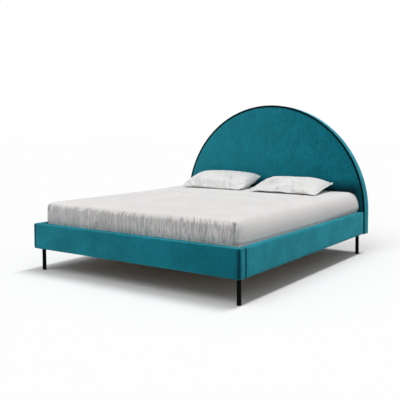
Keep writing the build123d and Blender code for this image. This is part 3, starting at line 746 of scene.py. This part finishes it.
def repeatAlong(name, points, tree, values):  # runs the tree on a path and keeps the plain mesh
    curve = bpy.data.curves.new(name, "CURVE")
    curve.dimensions = "3D"
    spline = curve.splines.new("POLY")
    spline.points.add(len(points) - 1)
    for target, point in zip(spline.points, points):
        target.co = (*point, 1)
    path = addObject(name + "Path", curve)
    modifier = path.modifiers.new("repeat", "NODES")
    modifier.node_group = tree
    for item in tree.interface.items_tree:
        if item.in_out == "INPUT" and item.name in values:
            modifier[item.identifier] = values[item.name]
    graph = bpy.context.evaluated_depsgraph_get()
    mesh = bpy.data.meshes.new_from_object(path.evaluated_get(graph), depsgraph=graph)
    bpy.data.objects.remove(path)
    mesh.name = name
    mesh.shade_smooth()
    return addObject(name, mesh)


stitchValues = {
    "Pitch": 7 * mm,
    "Length": 4.5 * mm,
    "Width": 0.9 * mm,
    "behindCord": 5.2 * mm,
    "stand": 0.3 * mm,
    "start": 4 * mm,
}
stapleValues = {"Pitch": 45 * mm, "Length": 10 * mm, "Width": 0.8 * mm, "stand": 0.5 * mm, "inset": 9 * mm}


def stitchesAndStaples():
    head, step, stand = headValues, headValues["pathStep"] / 2, stitchValues["stand"]
    low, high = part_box("headboard_border_cover")
    deep = head["front"] + head["cord"] + stitchValues["behindCord"]
    seam = [(x + nx * stand, deep, z + nz * stand)
            for (x, z), (nx, nz) in archPath(high.x, low.z + stitchValues["start"], step)]
    stitches = repeatAlong("borderStitches", seam, repeatTree("stitchRow", "pipingSatin"), stitchValues)
    settle(stitches, "frame", "piping")
    low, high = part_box("headboard_back_cover")
    inset, deep = stapleValues["inset"], high.y + stapleValues["stand"]
    edge = [(x, deep, z) for (x, z), _ in archPath(high.x - inset, low.z + inset, step)]
    staples = repeatAlong(
        "dustCoverStaples", edge, repeatTree("stapleRow", "zincPlatedSteel"), stapleValues)
    settle(staples, "frame", "zinc_steel")


stitchesAndStaples()
print("stitches and staples made")


# Mattress and fitted sheet
sheetLow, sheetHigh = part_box("fitted_sheet")
bedValues = {
    "half": 900 * mm,
    "front": -1020 * mm,
    "rear": 980 * mm,
    "bottom": sheetLow.z,
    "crown": 8 * mm,
    "top": sheetHigh.z,
    "cornerRound": 66 * mm,
    "rearCornerRound": 30 * mm,
    "rearRise": 3 * mm,
    "fullRun": 800 * mm,  # in which the mattress grows fuller towards the headboard
    "sideRound": 84 * mm,
    "endRound": 42 * mm,
    "rearEndRound": 50 * mm,
    "lowRound": 25 * mm,
    "grow": 0.6,  # how much the plan's corners widen as the edge rolls onto the top
    "lean": 3 * mm,  # the sides draw in towards the top
    "rearSwell": 10 * mm,  # but stand out near the headboard
    "rearSide": 6 * mm,
    "sideDeep": 42 * mm,  # the round reaches further down the sides than in over the top
    "inset": 0,
    "hem": 90 * mm,
    "gathered": True,
    "cloth": 1.0 * mm,
    "footStep": 2.8 * mm,
    "otherStep": 24 * mm,
    "cornerSteps": 16,
    "sideSteps": 24,
    "lowSteps": 5,
    "topSteps": 9,
    "topRings": (4 * mm, 9 * mm, 17 * mm, 28 * mm),
    "topGrid": 17 * mm,
}
bodyValues = {  # where the mattress differs from its sheet
    "inset": 29 * mm,
    "hem": 300 * mm,
    "gathered": False,
    "cornerRound": 112 * mm,  # rounder than the sheet, whose corner pleats sink in here
    "rearCornerRound": 40 * mm,
    "footStep": 24 * mm,
    "cornerSteps": 8,
    "sideSteps": 8,
    "topGrid": 40 * mm,
}
gatherValues = {
    "width": 16 * mm,
    "out": 2.5 * mm,  # between the mattress and the foot rail
    "freeOut": 10 * mm,  # above the rail, where nothing presses the folds
    "in": 16 * mm,
    "waist": 4 * mm,  # drawn in where the mattress sinks between the rails
    "waistHeight": 370 * mm,
    "waistWidth": 13 * mm,
    "foldTop": 529 * mm,
    "fade": 38 * mm,
    "freeFrom": (372 * mm, 430 * mm),  # from the top of the rails
    "slant": 0.35,  # how far the folds lean to either side
    "slantRun": 130 * mm,
    "wander": 10 * mm,
    "wanderRun": (50 * mm, 70 * mm),
    "foldRun": 260 * mm,
    "fineShare": 0.4,  # finer folds between the others
    "fineRun": 100 * mm,
    "sharpness": 3.3,
    "strengthRun": 160 * mm,
    "topWaver": 16 * mm,
    "topRun": 45 * mm,
}
pleatValues = {  # places along the sheet's edge, from where the foot side's straight run ends
    "groove": 27 * mm,
    "grooveTop": 36 * mm,
    "grooveWidth": 12 * mm,
    "grooveDepth": 34 * mm,
    "ridge": 40 * mm,
    "ridgeWidth": 4.5 * mm,
    "ridgeHeight": 13 * mm,
    "hood": 10 * mm,  # the surplus stands out over the top of the fold
    "hoodTop": 522 * mm,
    "hoodSize": (15 * mm, 9 * mm),
    "lift": (0.75, 0.35),  # and fills out the round of the left and the right corner
    "liftReach": 75 * mm,
    "liftFrom": (480 * mm, 520 * mm),
    "tuck": 47 * mm,
    "tuckDepth": 25 * mm,
    "tuckRun": 75 * mm,
    "tuckFront": 2.5 * mm,
    "tuckEnd": (430 * mm, 515 * mm),
    "foldEnd": (498 * mm, 518 * mm),
    "lean": (440 * mm, 515 * mm),
    "pressed": 0.7,  # of the ridge, by the rails
    "pressEnd": (372 * mm, 400 * mm),
    "leftShare": 0.45,
}
rearFoldValues = {
    "places": (-150 * mm, -95 * mm, -52 * mm),
    "width": 9 * mm,
    "out": 3.5 * mm,
    "start": (372 * mm, 420 * mm),
    "end": (500 * mm, 530 * mm),
}
wrinkleValues = {
    "depth": 27 * mm,
    "spacing": 120 * mm,
    "length": 430 * mm,
    "heading": 108,  # degrees from +X
    "swell": 4 * mm,
    "bend": 30 * mm,
    "end": (420 * mm, 520 * mm),
}


def beddingStations(bed):  # places round the mattress: corner number, share of the run after it, normal
    length, width = bed["rear"] - bed["front"], 2 * bed["half"]
    runs = (length / bed["otherStep"], width / bed["otherStep"], length / bed["otherStep"],
            width / bed["footStep"])
    stations = []
    for k, startAngle in enumerate((-90, 0, 90, 180)):
        fine = bed["cornerSteps"] * (2 if k in (0, 3) else 1)
        for i in range(fine + 1):
            angle = radians(startAngle + 90 * i / fine)
            stations.append((k, 0.0, (cos(angle), sin(angle))))
        count = round(runs[k])
        angle = radians(startAngle + 90)
        for i in range(1, count):
            stations.append((k, i / count, (cos(angle), sin(angle))))
    return stations


def outlinePoint(station, bed, away=0, grow=0):  # one place on the outline, drawn in by so much
    k, share, (nx, ny) = station

    def corner(number):
        radius = grow + (bed["cornerRound"] if number in (0, 3) else bed["rearCornerRound"])
        x = bed["half"] - away - radius
        y = bed["front"] + away + radius if number in (0, 3) else bed["rear"] - away - radius
        return Vector((x if number in (0, 1) else -x, y)), radius

    centre, radius = corner(k)
    start = centre + radius * Vector((nx, ny))
    if share == 0:
        return start
    centre, radius = corner((k + 1) % 4)
    return start.lerp(centre + radius * Vector((nx, ny)), share)


def rearShare(y):  # 0 at the foot and 1 at the headboard
    bed = bedValues
    return ease(y, bed["rear"] - bed["fullRun"], bed["rear"] - bed["rearEndRound"])


def sideRound(y):
    return bedValues["sideRound"] + bedValues["rearSide"] * rearShare(y)


def topHeight(x, y):
    bed = bedValues
    across = x / (bed["half"] - bed["sideRound"])
    middle, reach = (bed["front"] + bed["rear"]) / 2, (bed["rear"] - bed["front"]) / 2
    lengthwise = (y - middle) / (reach - bed["endRound"])
    rise = max(0, 1 - across * across) * max(0, 1 - lengthwise * lengthwise)
    rear = rearShare(y)
    return bed["top"] - bed["crown"] * (1 - rise) * (1 - rear) + bed["rearRise"] * rear


def rearFold(y, z, normal):  # soft upright folds where the sheet turns round the rear corners
    values = rearFoldValues
    turn = bedValues["rearCornerRound"] * atan2(max(0, normal[1]), abs(normal[0]))
    place = y - bedValues["rear"] + turn
    folds = sum(bell(place - spot, values["width"]) for spot in values["places"])
    tall = ease(z, *values["start"]) * (1 - ease(z, *values["end"]))
    return values["out"] * abs(normal[0]) * folds * tall


def gatherOffset(x, y, z, normal):  # how far the cloth stands out on the foot side and at its corners
    values = gatherValues
    waist = -values["waist"] * bell(z - values["waistHeight"], values["waistWidth"])
    if normal[1] > 0 or y > 0:
        return rearFold(y, z, normal) + waist
    foot = ease(-normal[1], 0.86, 0.99)
    wanderX, wanderZ = values["wanderRun"]
    lean = values["slant"] * waver(x / values["slantRun"], 8.8) * (z - 400 * mm)
    lean += values["wander"] * waver(x / wanderX, z / wanderZ, 3.0)
    across = (x + lean) / values["width"]
    fine = values["fineShare"] * waver(2.3 * across, z / values["fineRun"], 5.1)
    ridge = min(1, values["sharpness"] * abs(waver(across, z / values["foldRun"], 1.3) + fine)) ** 0.7
    strength = 0.8 + 0.4 * waver(x / values["strengthRun"], 6.4, 2.2) + 0.35 * ease(x, 0, 850 * mm)
    foldTop = values["foldTop"] + values["topWaver"] * waver(x / values["topRun"], 3.3)
    fade = 1 - ease(z, foldTop - values["fade"], foldTop)
    out = values["out"] + (values["freeOut"] - values["out"]) * ease(z, *values["freeFrom"])
    gathers = foot * fade * strength * (ridge * (out + values["in"]) - values["in"])
    return gathers + pleatOffset(x, y, z, normal) + waist


def pleatOffset(x, y, z, normal):  # surplus cloth pinched together at the two foot corners
    values, radius = pleatValues, bedValues["cornerRound"]
    along = radius * atan2(abs(normal[0]), -normal[1])
    if normal[1] > -1e-6:
        along += y - bedValues["front"] - radius
    elif abs(normal[0]) < 1e-6:
        along -= bedValues["half"] - radius - abs(x)
    press = 1 - values["pressed"] * (1 - ease(z, *values["pressEnd"]))
    place = values["groove"] + (values["grooveTop"] - values["groove"]) * ease(z, *values["lean"])
    groove = values["grooveDepth"] * bell(along - place, values["grooveWidth"])
    ridge = values["ridgeHeight"] * press * bell(along - values["ridge"], values["ridgeWidth"])
    past = along - values["tuck"]
    tuck = values["tuckDepth"] * exp(-abs(past) / values["tuckRun" if past > 0 else "tuckFront"])
    tuck *= 1 - ease(z, *values["tuckEnd"])
    hoodWidth, hoodHeight = values["hoodSize"]
    hood = values["hood"] * bell(along - values["groove"], hoodWidth)
    hood *= bell(z - values["hoodTop"], hoodHeight)
    folds = (ridge - groove - tuck) * (1 - ease(z, *values["foldEnd"]))
    return (folds + hood) * (1 if x > 0 else values["leftShare"])


def cornerLift(x, y, z):
    values = pleatValues
    away = hypot(bedValues["half"] - abs(x), y - bedValues["front"])
    room = max(0, bedValues["top"] - z) * ease(z, *values["liftFrom"])
    return values["lift"][x > 0] * bell(away, values["liftReach"]) * room


def wrinkleOffset(x, y):
    values = wrinkleValues
    heading = radians(values["heading"])
    along = x * cos(heading) + y * sin(heading)
    across = y * cos(heading) - x * sin(heading)
    bend = values["bend"] * waver(2.2 * x, 2.2 * y, 4.0)
    ridge = 1 - 2 * abs(waver((across + bend) / values["spacing"], along / values["length"], 2.0))
    calm = 0.5 + 0.5 * waver(1.7 * x, 1.7 * y, 9.0)
    swell = values["swell"] * waver(4 * x, 4 * y, 6.0)
    return (values["depth"] * max(0, ridge) ** 2 * calm + swell) * (1 - ease(y, *values["end"]))


def beddingColumn(bed, side, y):  # up one side: inset from the sides, height, roll inwards
    inset, hem, rear = bed["inset"], bed["hem"], rearShare(y)
    endRound = bed["rearEndRound"] if y > 0 else bed["endRound"]
    topRound = endRound + (sideRound(y) - endRound) * side - inset
    lowRound = bed["lowRound"] - inset
    base = bed["bottom"] + inset
    edge = bed["top"] - bed["crown"] * (1 - rear) + bed["rearRise"] * rear
    deep = topRound + bed["sideDeep"] * side
    low, high = base + lowRound, edge - inset - deep
    shift = side * (bed["lean"] * (1 - rear) - bed["rearSwell"] * rear)
    column = [(inset + lowRound + (hem - lowRound) * share, base, 0) for share in (1, 0.75, 0.5, 0.25)]
    for i in range(bed["lowSteps"]):
        angle = pi / 2 * i / bed["lowSteps"]
        column.append((inset + lowRound * (1 - sin(angle)), base + lowRound * (1 - cos(angle)), 0))
    for i in range(bed["sideSteps"]):
        share = i / bed["sideSteps"]
        column.append((inset + shift * ease(share, 0.3, 1), low + (high - low) * share, 0))
    for i in range(bed["topSteps"] + 1):
        angle = pi / 2 * i / bed["topSteps"]
        roll = (topRound - shift) * (1 - cos(angle))
        column.append((inset + shift + roll, high + deep * sin(angle), roll))
    last = column[-1]
    column += [(last[0] + step, None, last[2] + step) for step in bed["topRings"]]
    return column


def beddingPoints(bed):
    columns = []
    for station in beddingStations(bed):
        nx, ny = station[2]
        outer = outlinePoint(station, bed)
        built = []
        for away, z, roll in beddingColumn(bed, nx * nx, outer.y):
            place = outlinePoint(station, bed, away, bed["grow"] * roll)
            if z is None:
                z = topSurface(place.x, place.y, bed)
            elif bed["gathered"]:
                z += cornerLift(outer.x, outer.y, z)
                place += gatherOffset(outer.x, outer.y, z, (nx, ny)) * Vector((nx, ny))
            built.append((place.x, place.y, z))
        columns.append(built)
    return columns


def topMargins(x, y):  # how far in from the rounds, across and along
    bed = bedValues
    along = min(y - bed["front"] - bed["endRound"], bed["rear"] - bed["rearEndRound"] - y)
    return Vector((bed["half"] - sideRound(y) - abs(x), along))


def topSurface(x, y, bed):
    height = topHeight(x, y) - bed["inset"]
    if bed["gathered"]:
        height += wrinkleOffset(x, y) * ease(min(topMargins(x, y)), -20 * mm, 60 * mm)
    return height


def fillTop(points, ring, bed):  # triangles inside the innermost ring, on an even grid
    border = [Vector(points[k][:2]) for k in ring]
    step = bed["topGrid"]
    spots = list(border)
    count = int(max(bed["rear"], bed["half"]) / step)
    for i in range(-count, count + 1):
        for j in range(-count, count + 1):
            spot = Vector((i * step + (step / 2 if j % 2 else 0), j * step))
            corner = topMargins(*spot)
            edge = bed["topRings"][-1] + 0.6 * step
            reach = bed["cornerRound"] + bed["grow"] * sideRound(spot.y)  # of the ring's corner
            beyond = Vector((max(0, reach - corner.x), max(0, reach - corner.y)))
            if min(corner) > edge and beyond.length < reach - edge:
                spots.append(spot)
    edges = [(k, (k + 1) % len(border)) for k in range(len(border))]
    found = geometry.delaunay_2d_cdt(spots, edges, [], 1, 1e-7)
    names = []
    for spot, origins in zip(found[0], found[3]):
        onRing = [k for k in origins if k < len(border)]
        if onRing:
            names.append(ring[onRing[0]])
        else:
            names.append(len(points))
            points.append((*spot, topSurface(*spot, bed)))
    return [tuple(names[k] for k in face) for face in found[2]]


def beddingPiece(name, bed, finish):
    columns = beddingPoints(bed)
    count, rows = len(columns), len(columns[0])
    points = [columns[j][i] for i in range(rows) for j in range(count)]
    faces = gridFaces(rows, count, True)
    faces += fillTop(points, list(range((rows - 1) * count, rows * count)), bed)
    if not bed["gathered"]:
        faces.append(tuple(reversed(range(count))))
    piece = meshPiece(name, points, faces, finish)
    outwardFaces(piece)
    return piece


def makeBedding():
    bed = bedValues
    body = beddingPiece("mattressBody", {**bed, **bodyValues}, "quiltedTicking")
    settle(body, "mattress", "ticking", "mattress_core", "mattress_ticking")
    sheet = beddingPiece("fittedSheet", bed, "sheetPercale")
    thicken(sheet, bed["cloth"])
    settle(sheet, "mattress", "sheet", "fitted_sheet")


makeBedding()
print("mattress and sheet made")


# Pillows
pillowShared = {
    "columns": 88,
    "rows": 60,
    "draw": 16 * mm,  # how far the stuffing draws in the long seams
    "pinch": 6 * mm,  # and the short ones
    "blunt": 0.035,  # how far the corners are drawn in
    "seatGap": 2.2 * mm,
    "seatSoft": 8 * mm,
    "under": 62 * mm,  # how far the underside would hang, before it is seated
    "foldWidth": 95 * mm,
    "foldReach": 130 * mm,
    "foldRun": 300 * mm,
    "foldLean": 0.5,
    "leanRun": 200 * mm,
    "sharpness": 3.8,
    "seamFade": 30 * mm,
    "swell": 0.05,  # how much longer the case is than its stuffed shape
    "pressure": 4.0,
    "stiffness": 14.0,
    "bending": 0.02,
    "cap": 14 * mm,  # the furthest that the stuffing moves a point
    "frames": 20,
    "cornerZone": 0.2,  # share of the half width that counts as corner
    "seamWaver": 10 * mm,
    "seamRun": 110 * mm,
    "fullness": 0.64,  # the smaller, the squarer its section from front to back
    "crowding": (0.11, 0.055),  # draws the grid towards the seams
    "dents": 0.8,  # against the folds
    "rearCalm": 0.85,  # fewer folds behind the crown
    "calmFrom": (0.4, 0.62),
    "sideFade": (20 * mm, 200 * mm),
}
pillowValues = {  # tips in mm: front left, front right, rear left, rear right
    "left": {
        "tips": ((-716, 541), (-55, 548), (-725, 955), (-50, 957)),
        "crown": 74 * mm,
        "edges": (0.65, 0.5),  # how slowly its two sides rise
        "slope": 0.16,  # lower towards its right
        "front": (22 * mm, 10 * mm),  # height of the seam over the sheet, at each tip
        "back": (106 * mm, 112 * mm),
        "fold": 28 * mm,
        "seed": 1.7,
    },
    "right": {
        "tips": ((63, 494), (708, 508), (60, 955), (690, 955)),
        "crown": 95 * mm,
        "edges": (0.52, 0.54),
        "slope": 0.02,
        "front": (22 * mm, 9 * mm),
        "back": (78 * mm, 79 * mm),
        "fold": 38 * mm,
        "seed": 11.4,
    },
}


def pillowPoint(own, u, t, upper):  # u from -1 to 1 across, t from 0 at the front seam to 1 at the rear
    shared = pillowShared
    tips = [Vector(tip) * mm for tip in own["tips"]]
    share = (1 + u) / 2
    front, rear = tips[0].lerp(tips[1], share), tips[2].lerp(tips[3], share)
    place = front.lerp(rear, t)
    zone = shared["cornerZone"]
    corner = max(0, abs(u) - 1 + zone) * max(0, abs(2 * t - 1) - 1 + zone) / zone ** 2
    place = place.lerp((tips[0] + tips[1] + tips[2] + tips[3]) / 4, shared["blunt"] * corner)
    x = place.x - u * abs(u) * shared["pinch"] * 4 * t * (1 - t)
    y = place.y + shared["draw"] * (1 - u * u) * (1 - 2 * t)
    middle = (tips[0] + tips[1]) / 2
    low, high = (a + (b - a) * share for a, b in (own["front"], own["back"]))
    line = topHeight(middle.x, middle.y) + low + (high - low) * t
    line += shared["seamWaver"] * waver(x / shared["seamRun"], own["seed"]) * (1 - t) ** 4
    full = max(0, 1 - abs(u) ** 4) ** own["edges"][u > 0] * (4 * t * (1 - t)) ** shared["fullness"]
    full *= 1 - own["slope"] * max(0, u) ** 1.3
    if upper:
        return x, y, line + own["crown"] * full
    return x, y, line - shared["under"] * full


def foldOffset(own, u, t):  # soft folds that run in from the seams, and a few dents in the middle
    shared, seed = pillowShared, own["seed"]
    tips = [Vector(tip) * mm for tip in own["tips"]]
    half, reach = (tips[1] - tips[0]).length / 2, (tips[2] - tips[0]).length
    across, away, along, depth = (1 - abs(u)) * half, min(t, 1 - t) * reach, u * half, t * reach
    total = 0
    for inward, place, turn in ((away, along, 1 if t < 0.5 else 2), (across, depth, 3 if u < 0 else 4)):
        lean = shared["foldLean"] * inward * waver(place / shared["leanRun"], seed + turn)
        fold = waver((place + lean) / shared["foldWidth"], inward / shared["foldRun"], seed + 3 * turn)
        valley = max(0, 1 - shared["sharpness"] * abs(fold)) ** 1.5
        total += valley * exp(-inward / shared["foldReach"]) * ease(inward, 0, shared["seamFade"])
    dents = shared["dents"] * waver(along / (120 * mm), depth / (80 * mm), seed + 20)
    total += dents * ease(min(away, across), 20 * mm, 100 * mm)
    calm = 1 - shared["rearCalm"] * ease(t, *shared["calmFrom"])
    return -own["fold"] * total * calm * ease(across, *shared["sideFade"])


def seatOnSheet(point):  # the underside comes to rest on the sheet
    floor = topHeight(point.x, point.y) + pillowShared["seatGap"]
    gap, soft = point.z - floor, pillowShared["seatSoft"]
    if gap < soft:
        point.z = floor + soft * exp((gap - soft) / soft)


def stuffCase(piece, seam):  # the case is a little too large for its filling, so it creases at the seams
    shared = pillowShared
    group = piece.vertex_groups.new(name="seam")
    group.add(seam, 1.0, "REPLACE")
    before = [point.co.copy() for point in piece.data.vertices]
    modifier = piece.modifiers.new("stuffing", "CLOTH")
    cloth = modifier.settings
    cloth.quality = 6
    cloth.mass = 0.2
    cloth.use_pressure = True
    cloth.uniform_pressure_force = shared["pressure"]
    cloth.shrink_min = -shared["swell"]
    cloth.tension_stiffness = cloth.compression_stiffness = shared["stiffness"]
    cloth.shear_stiffness = shared["stiffness"] / 3
    cloth.bending_stiffness = shared["bending"]
    cloth.vertex_group_mass = "seam"
    cloth.effector_weights.gravity = 0
    modifier.collision_settings.use_collision = False
    modifier.point_cache.frame_start = 1
    modifier.point_cache.frame_end = shared["frames"]
    for step in range(1, shared["frames"] + 1):
        bpy.context.scene.frame_set(step)
    graph = bpy.context.evaluated_depsgraph_get()
    settled = [point.co.copy() for point in piece.evaluated_get(graph).data.vertices]
    piece.modifiers.remove(modifier)
    bpy.context.scene.frame_set(1)
    for point, old, new in zip(piece.data.vertices, before, settled):
        shift = new - old
        if shift.length > 0:
            shift *= shared["cap"] * tanh(shift.length / shared["cap"]) / shift.length
        point.co = old + shift


def makePillow(side):
    own, shared = pillowValues[side], pillowShared
    columns, rows = shared["columns"], shared["rows"]
    points, index, faces, seam, folds = [], {}, [], [], []
    for upper in (True, False):
        for i in range(columns + 1):
            for j in range(rows + 1):
                if i in (0, columns) or j in (0, rows):
                    if upper:
                        seam.append(len(points))
                    else:
                        index[upper, i, j] = index[True, i, j]
                        continue
                u, t = 2 * i / columns - 1, j / rows
                u += shared["crowding"][0] * sin(pi * u)
                t -= shared["crowding"][1] * sin(2 * pi * t)
                index[upper, i, j] = len(points)
                points.append(pillowPoint(own, u, t, upper))
                folds.append(foldOffset(own, u, t) if upper else 0)
        for i in range(columns):
            for j in range(rows):
                face = [index[upper, i, j], index[upper, i + 1, j], index[upper, i + 1, j + 1],
                        index[upper, i, j + 1]]
                faces.append(face if upper else face[::-1])
    piece = meshPiece(f"stuffedPillow_{side}", points, faces, "pillowPercale")
    outwardFaces(piece)
    stuffCase(piece, seam)
    normals = [point.normal.copy() for point in piece.data.vertices]
    for point, normal, fold in zip(piece.data.vertices, normals, folds):
        point.co += normal * fold
        seatOnSheet(point.co)
    smooth = piece.modifiers.new("smooth", "SUBSURF")
    smooth.levels = smooth.render_levels = 1
    settle(piece, f"pillow_{side}", "pillowcase", f"pillow_{side}")


makePillow("left")
makePillow("right")
print("pillows made")


# Floor, light and camera
stageValues = {
    "floorSize": 60,
    "floorColour": "#ABABAB",  # as it lights the bed
    "floorShown": "#F5F5F5",  # as the camera sees it
    "skyStrength": 0.36,
    "skyLean": 0.65,  # brighter than that on the camera's side, darker on the other
    "skyFrom": (0.5, -0.87, 0.0),
    "keySlopes": (0.06, 0.18, 0.3, 0.42),  # a strip of lamps overhead, reaching back
    "keySide": 0.17,
    "keySpread": 9,
    "keyPower": 0.405,
    "fillFrom": (-0.05, -0.62, 1.0),
    "fillSpread": 40,
    "fillPower": 0.86,
}


def seenDirectly(add):  # 1 where the camera sees it, straight or by a gleam, and 0 where it gives light
    path = add("LightPath").outputs
    gleam = add("Math", {
        0: path["Is Camera Ray"], 1: path["Is Glossy Ray"]}, operation="MAXIMUM")
    return add("Math", {0: gleam, 1: path["Is Transmission Ray"]}, operation="MAXIMUM")


def makeFloor():
    size = stageValues["floorSize"]
    points = [(-size, -size, 0), (size, -size, 0), (size, size, 0), (-size, size, 0)]
    add, shader, _ = startMaterial("paleFloor")
    tree = shader.id_data
    colours = {6: linear(stageValues["floorColour"]), 7: linear(stageValues["floorShown"])}
    colour = add("Mix", {0: seenDirectly(add), **colours}, **asColour)
    diffuse = add("BsdfDiffuse", {"Color": colour})
    plugIn(tree.nodes["Material Output"], {"Surface": diffuse})
    tree.nodes.remove(shader)
    meshPiece("floor", points, [(0, 1, 2, 3)], "paleFloor")


def makeWorld():
    world = bpy.data.worlds.new("studio")
    world.use_nodes = True
    bpy.context.scene.world = world
    add = partial(addNode, world.node_tree)
    place = add("TexCoord").outputs["Generated"]
    facing = add("VectorMath", {
        0: place, 1: stageValues["skyFrom"]}, operation="DOT_PRODUCT")
    lean = {0: facing, 1: stageValues["skyLean"], 2: 1.0}
    sky = add("Math", {
        0: add("Math", lean, operation="MULTIPLY_ADD"),
        1: stageValues["skyStrength"]}, operation="MULTIPLY")
    strength = add("Mix", {0: seenDirectly(add), 2: sky, 3: 1.0})
    plugIn(world.node_tree.nodes["Background"], {"Color": (1, 1, 1, 1), "Strength": strength})


def evenLight(name, source, spread, power):  # the same strength everywhere, so the floor stays even
    light = bpy.data.lights.new(name, "SUN")
    light.angle = radians(spread)
    light.energy = power
    lamp = addObject(name, light)
    lamp.rotation_euler = Vector(source).to_track_quat("Z", "Y").to_euler()


cameraValues = {
    "place": (2.9534, -4.3598, 1.1124),
    "pitch": 3.786,  # degrees below the horizon
    "heading": 35.129,  # degrees from +Y, anticlockwise
    "roll": -0.181,
    "lens": 57.005,
    "sensor": 36,
    "shiftDown": 0.075,
}


def makeCamera():
    values = cameraValues
    data = bpy.data.cameras.new("camera")
    data.sensor_width = values["sensor"]
    data.lens = values["lens"]
    data.shift_y = -values["shiftDown"]
    camera = addObject("camera", data)
    tilt = Euler((radians(90 - values["pitch"]), 0, radians(values["heading"])))
    roll = Matrix.Rotation(radians(values["roll"]), 3, "Z")
    camera.rotation_euler = (tilt.to_matrix() @ roll).to_euler()
    camera.location = values["place"]
    bpy.context.scene.camera = camera


makeFloor()
makeWorld()
for number, slope in enumerate(stageValues["keySlopes"]):
    overhead = (stageValues["keySide"], slope, 1.0)
    evenLight(f"keyLight{number}", overhead, stageValues["keySpread"], stageValues["keyPower"])
evenLight("fillLight", stageValues["fillFrom"], stageValues["fillSpread"], stageValues["fillPower"])
makeCamera()
bpy.context.scene.view_settings.view_transform = "Standard"
print("stage made")
